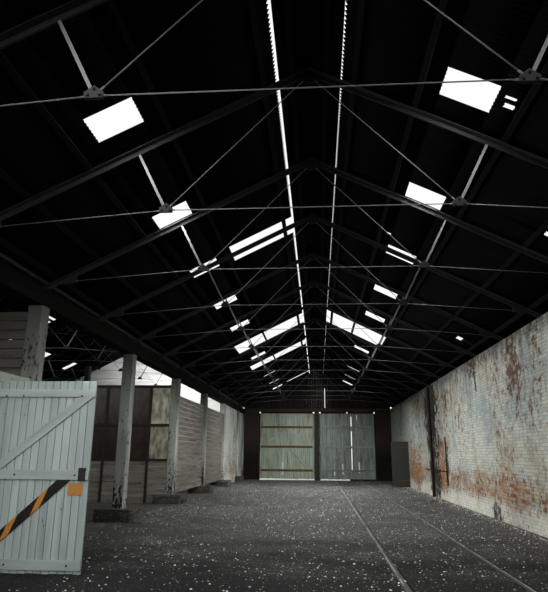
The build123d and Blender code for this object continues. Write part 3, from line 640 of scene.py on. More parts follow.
def rail_head(node, shine, dirt):
    """Rails sunk in the floor. Gives the eye a thin worn line along each head, broken here and
    there, between dust and dirt."""
    place = node("TexCoord", out="Object")
    low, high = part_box("floor_rails")
    across = node("SeparateXYZ", (place,), out="X")
    for offset in ((low[0] + high[0]) / 2, (high[0] - low[0]) / 2 - 0.035):
        off = node("Math", (across, offset), operation="SUBTRACT")
        across = node("Math", (off,), operation="ABSOLUTE")
    wear = node("TexNoise", (node("Mapping", {"Vector": place, "Scale": (40, 1.6, 1)}), 1.0, 6.0))
    dust = node("TexNoise", (place, 60.0, 5.0))
    line = node("Math", (node("MapRange", (across, 0.016, 0.008)),
                         node("MapRange", (wear, 0.4, 0.55))), operation="MULTIPLY")
    return {
        "Base Color": coats(node, dirt, (dust, "#57534C"), (line, shine)),
        "Roughness": 0.6,
        "Bump": (dust, 0.001, 0.5),
    }


def concrete(node, base, grit, specks):
    """Worn concrete. Gives the eye cloudy dark and dusty patches, pale grit of two sizes trodden
    into them and fine cracks, all of it darker towards the near end as painted shade, and rougher
    there. The grit is 8 to 20 mm across, somewhat coarser than the real one, so that it shows."""
    place = node("TexCoord", out="Object")
    cloud = node("TexNoise", (
        node("Mapping", {"Vector": place, "Scale": (0.6, 1.1, 1)}), 1.0, 8.0, 0.62))
    dust = node("TexNoise", (place, 11.0, 9.0, 0.8))
    pale = 0.0
    for scale, share in ((26.0, 0.80), (60.0, 0.66)):
        near = node("TexVoronoi", (place, scale), out="Distance")
        chance = node("SeparateXYZ", (node("TexVoronoi", (place, scale), out="Color"),), out="X")
        chip = node("Math", (node("MapRange", (near, 0.38, 0.26)),
                             node("MapRange", (chance, share, share + 0.1))), operation="MULTIPLY")
        pale = node("Math", (chip, pale), operation="MAXIMUM")
    patchy = node("MapRange", (cloud, 0.36, 0.6, 0.25 * specks, specks))
    pale = node("Math", (pale, patchy), operation="MULTIPLY")
    shake = node("TexNoise", (place, 2.0, 6.0), out="Color")
    bent = node("Mix", (0.12, place, shake), data_type="VECTOR")
    crack = node("TexVoronoi", (bent, 0.55), out="Distance", feature="DISTANCE_TO_EDGE")
    gritty = coats(node, "#0F0F0E", ((cloud, 0.38, 0.6), base), ((dust, 0.53, 0.68, 0.45), grit),
                   ((dust, 0.44, 0.3, 0.8), "#141312"), ((crack, 0.012, 0.0), "#0F0E0D"),
                   (pale, "#C9C9C2"))
    along = node("SeparateXYZ", (place,), out="Y")
    # Painted shade: the floor's colour darkens towards the near end, and its roughness rises there
    edge = node("Math", (cloud, 6.0, along), operation="MULTIPLY_ADD")
    dry = node("MapRange", (edge, -6.8, -2.6, 0.17, 1.2))
    return {
        "Base Color": node("HueSaturation", {"Color": gritty, "Value": dry}),
        "Roughness": node("MapRange", (
            dry, 0.2, 1.0, 1.0, node("MapRange", (cloud, 0.3, 0.6, 0.5, 0.75)))),
        "Specular IOR Level": 0.35,
        "Bump": (node("Math", (dust, pale)), 0.003, 0.6),
    }


def dirty_glass(node, pane):
    """Panes furred with dirt. Gives the eye a streaky film, each pane a little different, and a
    weak sheen."""
    run = node("UVMap", uv_map="run")
    tone = node("Attribute", out="Fac", attribute_name="tone")
    film = node("TexNoise", (node("Mapping", {"Vector": run, "Scale": (8, 3, 1)}), 1.0, 7.0))
    face = pane
    for value in ((tone, 0.0, 1.0, 0.6, 1.1), (film, 0.35, 0.65, 0.4, 1.5)):
        face = node("HueSaturation", {"Color": face, "Value": node("MapRange", value)})
    return {
        "Base Color": face,
        "Roughness": 0.35,
        "Transmission Weight": 0.25,
        "Bump": (film, 0.001, 0.2),
    }


def striped(node, amber, dark):
    """Safety paint on the lower brace. Gives the eye worn black with two amber bands, each
    between two parallel lines that lean across the brace."""
    place = node("TexCoord", out="Object")
    across = node("VectorMath", (place, (0.928, 0.0, -0.371)), out="Value",
                  operation="DOT_PRODUCT")
    bands = [node("Math", (across, centre, half), operation="COMPARE")
             for centre, half in ((0.345, 0.038), (0.580, 0.036))]
    wear = node("TexNoise", (place, 28.0, 8.0))
    return {
        "Base Color": coats(node, dark, (node("Math", bands, operation="MAXIMUM"), amber),
                            ((wear, 0.58, 0.7, 0.7), "#3A332B")),
        "Roughness": 0.7,
        "Specular IOR Level": 0.2,
        "Bump": (wear, 0.001, 0.4),
    }


def rubble(node, light, dark):
    """Chips of mortar, glass and whitewash. Gives the eye crumbs of many shades, from grey to
    nearly white, a little dusty on top."""
    tone = node("Attribute", out="Fac", attribute_name="tone")
    dust = node("TexNoise", (node("TexCoord", out="Object"), 90.0, 3.0))
    shade = node("Math", (tone, dust), operation="MULTIPLY")
    return {"Base Color": coats(node, dark, ((shade, 0.08, 0.34), light)), "Roughness": 0.6,
            "Bump": (dust, 0.001, 0.4)}


def studio_floor(node):
    """Plain pale floor of the studio, with the faintest mottling."""
    mottle = node("TexNoise", (node("TexCoord", out="Object"), 0.3, 4.0))
    return {"Base Color": coats(node, "#D8D8D6", (mottle, "#E2E2E0")), "Roughness": 0.9}


def make_finishes(c):
    """Makes every material, and gives the frame's own pieces that stay theirs."""
    spots = ((-4.5, 3.55, 0.5, 0.8, 0.24), (-5.9, 3.9, 0.35, 0.7, 0.22), (9.7, 1.3, 1.2, 1.2, 0.22),
             (4.0, 3.4, 1.2, 1.0, 0.22), (4.2, 1.4, 1.4, 1.0, 0.22), (-1.0, 4.2, 0.8, 0.3, 0.2))
    damp = ((5.9, 3.7, 1.4, 1.2, 0.9), (5.8, 2.2, 1.2, 1.2, 0.9), (5.6, 0.7, 1.2, 0.9, 0.9),
            (-1.14, 3.9, 0.12, 0.6, 0.9), (3.36, 1.4, 0.35, 0.9, 0.8), (-2.2, 0.3, 0.5, 0.3, 0.85),
            (-6.6, 0.25, 0.4, 0.4, 0.8))
    worn, joints = ("#BC9068", "#6A4C38", c.limewash), (c.mortar, "#5C564C", "#8E8E85")
    for name, recipe, *facts in (
            ("door_paint_white", boarding, c.leaf_white, c.bare_wood, 0.10, 0.35),
            ("door_paint_green", boarding, c.leaf_green, c.bare_wood, 0.22, 0.6),
            # A darker, greyer copy of the green door paint for the far right leaf: painted shade
            ("door_paint_dim", boarding, "#8E9B92", c.bare_wood, 0.22, 0.7),
            ("board_limewash", boarding, c.limewash, c.bare_wood, 0.25, 0.6),
            # Painted sunlight: brighter white boards for the sunlit side gables
            ("board_bright", boarding, "#E0E1DC", c.bare_wood, 0.12, 0.3),
            ("board_drab", boarding, "#8E8A7E", c.bare_wood, 0.25, 0.7),
            ("board_grey", boarding, "#6B675E", c.bare_wood, 0.30, 0.6),
            ("board_sooty", boarding, "#161412", c.sooty_wood, 0.3, 0.7, 0.0, 0.06),
            # Dirtier, darker paint for the near partition: dirt and painted shade
            ("board_dirty", boarding, "#77756C", c.bare_wood, 0.24, 0.7, 0.0, 0.3, 0.5),
            # The posts' soot share darkens their tops: soot and painted shade
            ("post_limewash", boarding, c.limewash, "#221A15", 0.26, 0.6, 0.24, 0.3, 0.8),
            ("rail_brown", boarding, "#6E4A2C", c.bare_wood, 0.30, 0.6),
            ("frame_dark", boarding, "#231F1A", "#3B3228", 0.12, 0.5),
            ("side_door_paint", boarding, "#2B2E28", "#2A241D", 0.12, 0.4),
            ("roof_timber", plain_timber, "#141210", "#0A0908"),
            ("brick_washed", brick_face, *worn, 0.50, 0.75, 0.12),
            ("mortar_washed", brick_face, *joints, 0.48, 0.75, 0.12),
            ("brick_stained", brick_face, *worn, 0.46, 0.6, 0.26, spots, damp),
            ("mortar_stained", brick_face, *joints, 0.44, 0.6, 0.26, spots, damp),
            ("brick_bare", brick_face, c.brick, c.brick_dark, "#8B8274", -0.15, 0.5),
            ("mortar_bare", brick_face, c.mortar, "#5C564C", c.mortar, 0.2, 0.5),
            # Nearly black brick for the end piers' faces and reveals
            ("brick_sooty", brick_face, "#1F1A17", "#100E0D", "#3A3835", -0.8, 0.7),
            ("sheet_outside", sheeting, c.zinc, c.rust, 0.16),
            ("sheet_underside", sooty_sheet, c.soot, "#2A1810"),
            ("truss_paint", ironwork, c.iron, c.rust, 0.02, 0.0, 0.2),
            ("truss_dark", ironwork, "#2A2A2A", "#20140F", 0.02, 0.0, 0.06),
            ("latch_amber", ironwork, c.hazard, c.rust, 0.04, 0.0),
            ("strap_rust", ironwork, "#2E2925", c.rust, 0.2, 0.3),
            ("rail_worn", rail_head, "#A3A098", "#1E1C1A"),
            ("pipe_rust", ironwork, "#1B1916", "#2A1D15", 0.15, 0.0, 0.2),
            ("floor_concrete", concrete, c.concrete, c.grit, 1.0),
            ("block_concrete", concrete, "#3C3933", "#6F6A5E", 0.4),
            ("pane_brown", dirty_glass, c.pane),
            ("pane_pale", dirty_glass, "#B9B7A2"),
            ("brace_striped", striped, c.hazard, "#141210"),
            ("chip_pale", rubble, "#E4E4DE", "#6B6A64"),
            ("studio_floor", studio_floor)):
        surface(name, recipe, *facts)
    kept = {
        "truss_dark": "rafters_left_slopes rafters_right_slopes truss_cheek_plates valley_gutter",
        "truss_paint": "truss_struts",
        "roof_timber": "purlins",
        "pipe_rust": "wall_pipes",
        "strap_rust": "arcade_leaf_straps far_left_leaf_straps far_right_leaf_straps "
                      "side_leaf_straps hinge_pintles",
        "rail_worn": "floor_rails",
        "floor_concrete": "nave_floor side_bay_floor",
    }
    for finish, nodes in kept.items():
        for name in nodes.split():
            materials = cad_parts[name].data.materials
            materials.clear()
            materials.append(bpy.data.materials[finish])


# Pieces

def build_roof(s):
    """Roof sheeting, slope by slope, with its rooflights, lost sheets and small holes left open,
    and the ridge rolls. A hole has (from, to) along the roof and (from, to) out from its ridge."""
    nodes = ("roof_sheets_by_ridge roof_sheets_between_rooflights roof_sheets_under_rooflights "
             "roof_sheets_at_eaves")
    naves = {"nave": (NAVE_AXIS, FAR_Y), "side": (-NAVE_AXIS, SIDE_FAR_Y)}
    gone = {
        ("nave", 1): [(20.68, 22.62, 0, 2.5), (6.70, 6.76, 2.30, 2.42), (6.84, 6.92, 2.33, 2.44),
                      (9.35, 9.47, 3.66, 3.78), (11.9, 12.0, 1.54, 1.62), (16.8, 17.1, 4.0, 4.14)],
        ("nave", -1): [(21.19, 22.67, 0, 2.95), (26.22, 27.25, 0, 2.95), (12.30, 13.22, 0, 1.8),
                       (35.78, 36.57, 0, 1.8)],
        ("side", 1): [],
        ("side", -1): [(20.9, 21.7, 0.5, 0.86)],
    }
    start = NEAR_Y - SHEET_OVERHANG
    for (bay, side), holes in gone.items():
        axis, far = naves[bay]
        edges = *BAND_EDGES[side], EAVES_OUT if axis * side > 0 else VALLEY_OUT
        patches = [(start, far + SHEET_OVERHANG, a, b) for a, b in zip(edges, edges[1:])]
        for y1, y2, u1, u2 in holes:
            patches = cut(patches, (NEAR_Y + y1, NEAR_Y + y2, u1, u2))
        for number, span in enumerate(ROOFLIGHTS):
            if bay == "side" or number != LOST_ROOFLIGHT:
                patches = cut(patches, (*span, *edges[1:3]))
        rng = np.random.default_rng(11 + side + int(axis))
        name = f"{bay}_sheeting_{'right' if side > 0 else 'left'}"
        with piece(name, SHEET_FINISHES, nodes, "roof_iron") as shell:
            for patch in patches:
                teeth = (0.028 if side > 0 else 0.024) if patch[2] == edges[0] else 0.0
                corrugated(shell, axis, side, patch, rng, s, teeth)

    reach, roll, bulge, turn = (0.412, 0.438), 0.045, 0.028, np.linspace(0, np.pi, 9)
    skirt = [slope_z(out, SHEET_BASE + 0.0005) for out in reach]
    x = np.array([-reach[0], *(-roll * np.cos(turn)), reach[1]])
    z = np.array([skirt[0], *(slope_z(roll, SHEET_BASE) + bulge * np.sin(turn)), skirt[1]])
    with piece("ridge_rolls", SHEET_FINISHES, "ridge_capping", "roof_iron") as shell:
        for axis, far in naves.values():
            joints = np.arange(start, far + SHEET_OVERHANG, 1.83)
            ends = np.append(joints[1:] + 0.05, far + SHEET_OVERHANG)
            for number, span in enumerate(zip(joints, ends)):
                lap = 0.0015 * (number % 2)
                lines = [np.stack([axis + x, np.full(len(x), y), z + thick + lap], -1)
                         for thick in (0.0, 0.004) for y in span]
                thin_sheet(shell, lines, 0.5, np.concatenate(lines)[:, 1::-1])


def build_trusses(s):
    """Round ties with forged eyes, and the bolts through the cheek plates."""
    face, eye, head = TRUSS_IRON / 2 + CHEEK, 0.09, 0.016
    with (piece("truss_bolts", "truss_dark", "", "truss_iron") as bolts,
          piece("round_ties", "truss_paint", "truss_tie_rods", "truss_iron") as ties):
        for axis, count in ((NAVE_AXIS, 14), (-NAVE_AXIS, 11)):
            for y in NEAR_Y + BAY * np.arange(1, count + 1):
                apex = np.array((axis, y, RIDGE_Z))
                nodes = [np.array((axis + side * TIE_OUT, y, TIE_Z)) for side in (-1, 1)]
                lines = [(*nodes, NODE_CLEAR, NODE_CLEAR)]
                spots = [(axis + dx, RIDGE_Z + dz)
                         for dx, dz in ((-0.06, -0.06), (0.06, -0.06), (0, 0.02))]
                for side, node in zip((-1, 1), nodes):
                    foot = (axis + side * TIE_FOOT_OUT, y, slope_z(TIE_FOOT_OUT) - TIE_FOOT_GAP)
                    lines += [(node, apex, NODE_CLEAR, APEX_CLEAR),
                              (node, np.array(foot), NODE_CLEAR, 0.0)]
                    spots += [(node[0] + side * dx, TIE_Z + dz)
                              for dx, dz in ((-0.055, 0.0), (0.055, 0.0), (0.0, 0.062))]
                    spots += [(axis + side * out, slope_z(out, 0.025)) for out in (4.17, 4.37)]
                tips, ways = [], []
                for a, b, clear_a, clear_b in lines:
                    way = (b - a) / np.linalg.norm(b - a)
                    tips += [a + way * clear_a, b - way * clear_b]
                    ways += [way, -way]
                rods(ties, tips[::2], tips[1::2], s.rod / 2, 8)
                rods(ties, tips, np.array(tips) + np.array(ways) * eye, TRUSS_IRON / 2, 8)
                x, z = np.array(spots).T
                for sign in (-1, 1):
                    inner = np.stack([x, np.full_like(x, y + sign * face), z], -1)
                    rods(bolts, inner, inner + (0, sign * head, 0), s.bolt / 2, 6, smooth=False)


def build_brick(s):
    """Brick walls, end piers and the brick filling of the arcade."""
    inside, outside, sooty, stained = (0, 1), (2, 3), (4, 4), (5, 6)
    for number, (name, node, face, finish, *others) in enumerate((
            ("right_wall_bricks_near", "right_wall_near_part", "-x", stained, "+x", "-y"),
            ("right_wall_bricks_doorway", "right_wall_at_doorway", "-x", stained, "+x"),
            ("right_wall_bricks_far", "right_wall_far_part", "-x", stained, "+x", "+y"),
            ("side_wall_bricks", "side_bay_wall", "+x", inside, "-x", "-y", "+y"))):
        rng = np.random.default_rng(20 + number)
        boxes = [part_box(node)]
        if node == "right_wall_at_doorway":
            low, high = boxes[0]
            boxes = [((low[0], low[1], SIDE_DOORWAY_HEAD), high),
                     (low, (high[0], high[1], FLOOR_TOP))]
        facts = (face, *others), rng, s, {face: finish, **dict.fromkeys((*others, "+z"), outside)}
        with (piece(f"{name}_outside", BRICK_FINISHES, node, "brick") as outer,
              piece(name, BRICK_FINISHES, node, "brick") as inner):
            for part in boxes:
                wall(inner, part, *facts, laid=(face, *others[1:]))
                wall(outer, part, *facts, laid=others[:1], core=False)

    rng = np.random.default_rng(31)
    with piece("end_pier_bricks", BRICK_FINISHES, "nave_end_piers", "brick") as shell:
        for (y1, y2), face, outer in zip(END_WALLS, ("+y", "-y"), ("-y", "+y")):
            for side, reveal in ((-1, "+x"), (1, "-x")):
                x1, x2 = sorted(NAVE_AXIS + side * out for out in (DOORWAY_HALF, HALF_SPAN))
                wall(shell, ((x1, y1, 0), (x2, y2, LINTEL_FOOT)), (face, outer, reveal), rng, s,
                     {face: sooty, outer: outside, reveal: sooty, "+z": outside})

    front, block = 0.05, 0.31
    with piece("arcade_filling_bricks", BRICK_FINISHES, "arcade_brick_filling", "brick") as shell:
        for y1, y2 in ((POST_YS[5] + POST_HALF, POST_YS[6] - POST_HALF),
                       (POST_YS[6] + POST_HALF, FAR_Y)):
            foot_end = y2 if y2 == FAR_Y else y2 - block
            for part in (((-POST_HALF, y1, PLINTH_TOP), (front, y2, POST_TOP)),
                         ((-POST_HALF, y1 + block, FLOOR_TOP), (front, foot_end, PLINTH_TOP))):
                wall(shell, part, ("-x", "+x"), rng, s, {"-x": inside, "+x": inside, "+z": outside})


def window_bays():
    """Clear stretches in x between the posts of the window partition, from the arcade out."""
    posts = [x + half for x in WINDOW_POSTS for half in (MULLION_HALF, -MULLION_HALF)]
    edges = [-POST_HALF, *posts, -WALL_FACE]
    return list(zip(edges[1::2], edges[::2]))


def crossbars(shell, low, high, bars, rng):
    """Level timbers between the corners `low` and `high` of a leaf, each as (height of its
    middle, half its depth)."""
    for z, half in bars:
        timber(shell, ((low[0], low[1], z - half), (high[0], high[1], z + half)), 0, rng)


def build_boards(s):
    """Boarded gables, partitions, arcade boarding and screens, and the leaves at the near end."""
    rng = np.random.default_rng(41)
    top = slope_z(0, SHEET_BASE)
    slit = 0.5, 0.54
    with piece("nave_gable_boards", "board_sooty", "nave_gables", "dark_timber") as shell:
        for y, parts in ((NEAR_Y - GABLE, ((-HALF_SPAN, 0), (0, HALF_SPAN))),
                         (FAR_Y, ((-HALF_SPAN, 0), (0, slit[0]), (slit[1], HALF_SPAN)))):
            for a, b in parts:
                planks(shell, ((NAVE_AXIS + a, y, WALL_TOP), (NAVE_AXIS + b, y + GABLE, top)),
                       2, 0, s.wide_board, rng,
                       ends=lambda x: (WALL_TOP, top - RISE * abs(x - NAVE_AXIS) - 0.001))
        x1, x2 = (NAVE_AXIS + edge for edge in slit)
        for z1, z2 in ((WALL_TOP, WALL_TOP + 0.06),
                       (WALL_TOP + 1.27, top - RISE * slit[1] - 0.002)):
            timber(shell, ((x1, FAR_Y, z1), (x2, FAR_Y + GABLE, z2)), 2, rng, 0.002)

    def gable_ends(z):
        half = min(HALF_SPAN, (top - z) / RISE) - 0.001
        return -NAVE_AXIS - half, -NAVE_AXIS + half

    corner = WALL_TOP + SHEET_BASE / LEAN
    # The side gables take the brighter boards, which are painted sunlight
    with piece("side_gable_boards", "board_bright", "side_bay_gables", "white_timber") as shell:
        for y, foot in ((NEAR_Y - GABLE, 0.0), (SIDE_FAR_Y, FLOOR_TOP)):
            for z1, z2 in ((foot, corner), (corner, top)):
                planks(shell, ((-WALL_FACE, y, z1), (-POST_HALF, y + GABLE, z2)), 0, 2,
                       s.wide_board, rng, slack=0.008, ends=gable_ends)

    # The near partition's darker boards are dirt and painted shade
    with piece("near_partition_boards", "board_dirty", "side_bay_boarded_partition",
               "white_timber") as shell:
        planks(shell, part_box("side_bay_boarded_partition"), 0, 2, s.wide_board, rng, gap=0.008,
               joint=0.008)

    low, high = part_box("arcade_boarding")
    with piece("arcade_boards", "board_drab board_grey", "arcade_boarding",
               "white_timber") as shell:
        for finish, (y1, y2) in enumerate(zip(POST_YS[3:5], POST_YS[4:6])):
            planks(shell, ((low[0], y1 + POST_HALF, low[2]), (high[0], y2 - POST_HALF, high[2])),
                   1, 2, ARCADE_BOARD, rng, gap=0.01, joint=0.012, finish=finish)

    low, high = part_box("arcade_screens")
    with piece("arcade_screen_boards", "board_limewash", "arcade_screens",
               "white_timber") as shell:
        for y1, y2 in ((low[1], ARCADE_DOOR[0]), (ARCADE_DOOR[1], high[1])):
            planks(shell, ((low[0], y1, low[2]), (high[0], y2, high[2])), 2, 1, s.leaf_board, rng)

    low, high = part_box("near_end_leaves")
    front = low[1] + LEAF_BOARDS
    with piece("near_leaf_boards", "door_paint_green", "near_end_leaves", "green_timber") as shell:
        for x1, x2 in ((low[0], NAVE_AXIS - CENTRE_HALF), (NAVE_AXIS + CENTRE_HALF, high[0])):
            planks(shell, ((x1, low[1], low[2]), (x2, front, high[2])), 2, 0, s.leaf_board, rng,
                   ragged=0.03)
            crossbars(shell, (x1 + RAIL_INSET, front), (x2 - RAIL_INSET, high[1]), FAR_RAILS, rng)

    low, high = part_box("window_partition_panels")
    with piece("window_panel_boards", "board_drab", "window_partition_panels",
               "white_timber") as shell:
        for x1, x2 in window_bays():
            planks(shell, ((x1, low[1], low[2]), (x2, high[1], high[2])), 0, 2,
                   PANEL_BOARD, rng, gap=0.006, joint=0.006)


def build_frame(s):
    """Posts, beam, blocks, lintels, door frame and the window partition's frame. Each timber is
    (its box, how far its long edges are cut off, rings along it, wear)."""
    rng = np.random.default_rng(51)
    half, centre = POST_HALF, (NAVE_AXIS - CENTRE_HALF, NAVE_AXIS + CENTRE_HALF)
    low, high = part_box("arcade_door_posts")
    y1, y2 = (corner[1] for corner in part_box("window_partition_posts"))
    posts = [(((-half, y - half, PLINTH_TOP), (half, y + half, POST_TOP)), 0.022, 26, 0.006)
             for y in POST_YS]
    posts += [(((-half, a, 0), (half, b, POST_TOP)), 0.01, 26, 0.004) for a, b in END_WALLS]
    for name, finish, node, slot, run, timbers in (
            ("arcade_post_timbers", "post_limewash", "arcade_posts", "white_timber", 2, posts),
            ("plinth_blocks", "block_concrete", "arcade_plinths", "concrete", 2,
             [(((-0.49, y - 0.45, FLOOR_TOP), (0.49, y + 0.45, PLINTH_TOP)), 0.07, 4, 0.03)
              for y in POST_YS]),
            ("arcade_beam_timber", "roof_timber", "arcade_beam", "dark_timber", 1,
             [(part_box("arcade_beam"), 0.012, 60, 0.004)]),
            ("end_centre_timbers", "frame_dark", "nave_end_centre_posts", "dark_timber", 2,
             [(((centre[0], a, 0), (centre[1], b, LINTEL_FOOT)), 0.012, 24, 0.005)
              for a, b in END_WALLS]),
            ("end_lintel_timbers", "frame_dark", "nave_end_lintels", "dark_timber", 0,
             [(((half, a, LINTEL_FOOT), (WALL_FACE, b, WALL_TOP)), 0.01, 30, 0.004)
              for a, b in END_WALLS]),
            ("door_post_timbers", "board_limewash", "arcade_door_posts", "white_timber", 2,
             [(((low[0], y, low[2]), (high[0], y + DOOR_POST, high[2])), 0.006, 16, 0.002)
              for y in (low[1], high[1] - DOOR_POST)]),
            ("door_head_timber", "board_limewash", "arcade_door_head", "white_timber", 1,
             [(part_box("arcade_door_head"), 0.006, 20, 0.002)]),
            ("window_posts", "frame_dark", "window_partition_posts", "dark_timber", 2,
             [(((x - MULLION_HALF, y1, FLOOR_TOP), (x + MULLION_HALF, y2, WINDOW_HEAD)),
               0.006, 12, 0.001) for x in WINDOW_POSTS])):
        with piece(name, finish, node, slot) as shell:
            for box, *facts in timbers:
                timber(shell, box, run, rng, *facts)

    mid, pane = (y1 + y2) / 2, 0.003
    with (piece("window_panes", "pane_pale pane_brown", "window_partition_glass",
                "window_glass") as panes,
          piece("window_rails", "frame_dark", "window_partition_rails", "dark_timber") as shell):
        timber(shell, ((-WALL_FACE, y1, WINDOW_HEAD), (-half, y2, WINDOW_HEAD + WINDOW_RAIL)), 0,
               rng, 0.006)
        for number, (x1, x2) in enumerate(window_bays()):
            for z in (SILL, TRANSOM):
                timber(shell, ((x1, y1, z), (x2, y2, z + WINDOW_RAIL)), 0, rng, 0.006)
            for z, head in ((SILL, TRANSOM), (TRANSOM, WINDOW_HEAD)):
                timber(panes, ((x1, mid - pane, z + WINDOW_RAIL), (x2, mid + pane, head)), 2, rng,
                       0.001, finish=min(number, 1))

    out, height = WALL_FACE - 0.035, 1.12
    with piece("wall_branch_pipe", "pipe_rust", "", "rail_steel") as shell:
        rods(shell, [(out, 3.36, height)], [(out, 7.45, height)], 0.02, 10)

    with piece("stanchion_timber", "frame_dark", "side_bay_stanchion", "dark_timber") as shell:
        timber(shell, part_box("side_bay_stanchion"), 2, rng, 0.01, 16, 0.003)


def brace(shell, origin, way, run, width, thickness, rng, finish=0):
    """A sloping bar between two (distance, height) points of a leaf, its ends cut level. The
    distance is measured from `origin` along x, `way` 1 or -1."""
    (d1, z1), (d2, z2) = run
    span = np.array((d2 - d1, z2 - z1))
    reach = np.hypot(*span)
    ux, uz = span / reach
    across, up = np.array((way, 0.0, 0.0)), np.array((0.0, 0.0, 1.0))
    along = across * ux + up * uz
    side = across * uz - up * ux
    level = width / 2 * ux / uz
    start = np.array(origin, float) + across * d1 + up * z1
    beams(shell, start, (side, (0, 1, 0), along), [-width / 2], [width / 2], [(-level, level)],
          [(reach - level, reach + level)], thickness, rng, finish=finish)


def build_doors(s):
    """The four hung leaves: boards, ledges or rails, braces, bolts and latch plate. A far leaf
    has its paint, that of its rails, the side of its hinge and (from, to, foot, head) of the open
    joints in its boards."""
    rng = np.random.default_rng(61)
    middle = (FAR_HINGE_OUT - RAIL_INSET) / 2
    for name, paint, bars, side, open_joints in (
            ("far_left_leaf", "door_paint_green", "rail_brown", -1, ((2.60, 2.625, 0.41, 1.18),)),
            # The far right leaf's paint is the green door paint darkened as painted shade
            ("far_right_leaf", "door_paint_dim", "door_paint_dim", 1,
             ((6.856, 6.906, 0.76, 3.95), (5.80, 5.825, 0.41, 0.76), (6.30, 6.325, 0.48, 1.09),
              (7.29, 7.315, 0.56, 1.22), (7.21, 7.225, 3.75, 4.06)))):
        low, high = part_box(f"{name}_boards")
        edges = np.linspace(low[0], high[0], round((high[0] - low[0]) / s.leaf_board) + 1)
        boards = [(a, b, low[2] + 0.03 * rng.random(), high[2]) for a, b in zip(edges, edges[1:])]
        for slit in open_joints:
            boards = cut(boards, slit)
        with piece(f"{name}_planks", paint, f"{name}_boards", "green_timber", name) as shell:
            for x1, x2, z1, z2 in boards:
                timber(shell, ((x1 + 0.001, low[1] + 0.001, z1), (x2 - 0.001, high[1] - 0.001, z2)),
                       2, rng, 0.004)
        with piece(f"{name}_rail_timbers", bars, f"{name}_rails", "green_timber", name) as shell:
            crossbars(shell, *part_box(f"{name}_rails"), FAR_RAILS, rng)
        low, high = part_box(f"{name}_braces")
        with piece(f"{name}_brace_timbers", paint, f"{name}_braces", "green_timber",
                   name) as shell:
            for way, foot, head in ((-1, 2.165, 3.225), (1, 2.165, 3.225), (1, 0.755, 2.035)):
                run = (middle + way * 1.3, foot), (middle + way * 0.16, head)
                brace(shell, (NAVE_AXIS + side * FAR_HINGE_OUT, low[1], 0), -side, run,
                      FAR_BRACE, high[1] - low[1], rng)

    leaf, white = "arcade_leaf", "door_paint_white"
    with piece("arcade_leaf_planks", white, "arcade_leaf_boards", "white_timber", leaf) as shell:
        planks(shell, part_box("arcade_leaf_boards"), 2, 0, ARCADE_LEAF_BOARD, rng, gap=0.006,
               ragged=0.008, joint=0.006)
    low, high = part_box("arcade_leaf_ledges")
    with piece("arcade_leaf_ledge_timbers", white, "arcade_leaf_ledges", "white_timber",
               leaf) as shell:
        crossbars(shell, low, high, ((2.5, 0.055), (1.395, 0.065), (0.26, 0.065)), rng)
    with piece("arcade_leaf_brace_timbers", f"{white} brace_striped", "arcade_leaf_braces",
               "white_timber", leaf) as shell:
        for finish, run in enumerate((((0.26, 1.46), (1.49, 2.445)),
                                      ((0.15, 0.325), (1.27, 1.33)))):
            brace(shell, (low[0], low[1], 0), 1, run, ARCADE_BRACE, high[1] - low[1], rng,
                  finish)
    hinge, face = ARCADE_HINGE[0], ARCADE_HINGE[1] - LEAF_BACK - LEAF_BOARDS
    with piece("arcade_leaf_bolts", "truss_dark", "", "rail_steel", leaf) as shell:
        spots = np.array([(hinge + d, low[1], z)
                          for d in (0.32, 0.57, 1.42) for z in (2.46, 1.395, 0.26)])
        rods(shell, spots, spots - (0, 0.007, 0), 0.013, 8, smooth=False)
    with piece("arcade_latch_parts", "latch_amber truss_dark", "arcade_leaf_latch", "rail_steel",
               leaf) as shell:
        timber(shell, ((hinge + 1.33, face - 0.006, 1.13), (hinge + 1.54, face, 1.29)), 0, rng,
               0.001)
        timber(shell, ((hinge + 1.47, face - 0.040, 1.32), (hinge + 1.57, face - 0.028, 1.49)), 2,
               rng, 0.003, finish=1)

    leaf, dark = "side_leaf", "side_door_paint"
    with piece("side_leaf_planks", dark, "side_leaf_boards", "dark_timber", leaf) as shell:
        planks(shell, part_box("side_leaf_boards"), 2, 0, SIDE_LEAF_BOARD, rng, ragged=0.01)
    with piece("side_leaf_ledge_timbers", dark, "side_leaf_ledges", "dark_timber", leaf) as shell:
        crossbars(shell, *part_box("side_leaf_ledges"), [(z, 0.06) for z in (2.15, 1.23, 0.31)], rng)


def build_stops(s):
    """Stops nailed round the far leaves, with the gaps that let daylight in at the corners."""
    rng = np.random.default_rng(65)
    y1, y2, foot, head = FAR_Y + 0.004, FAR_Y + 0.055, 4.135, LINTEL_FOOT
    inner, outer = NAVE_AXIS - CENTRE_HALF, NAVE_AXIS + CENTRE_HALF
    left, right = NAVE_AXIS - DOORWAY_HALF, NAVE_AXIS + DOORWAY_HALF
    with piece("far_door_stops", "board_sooty", "", "dark_timber") as shell:
        for x1, x2 in ((left + 0.10, inner - 0.10), (outer + 0.10, 6.60), (6.67, right - 0.10)):
            timber(shell, ((x1, y1, foot), (x2, y2, head)), 0, rng, 0.003)
        for x1, x2 in ((left, left + 0.075), (inner - 0.03, inner), (outer, outer + 0.03),
                       (right - 0.075, right)):
            timber(shell, ((x1, y1, FLOOR_TOP), (x2, y2, 4.13)), 2, rng, 0.003)
        timber(shell, ((6.72, y1, FLOOR_TOP), (right - 0.08, y2, FLOOR_TOP + 0.085)), 0, rng, 0.006)


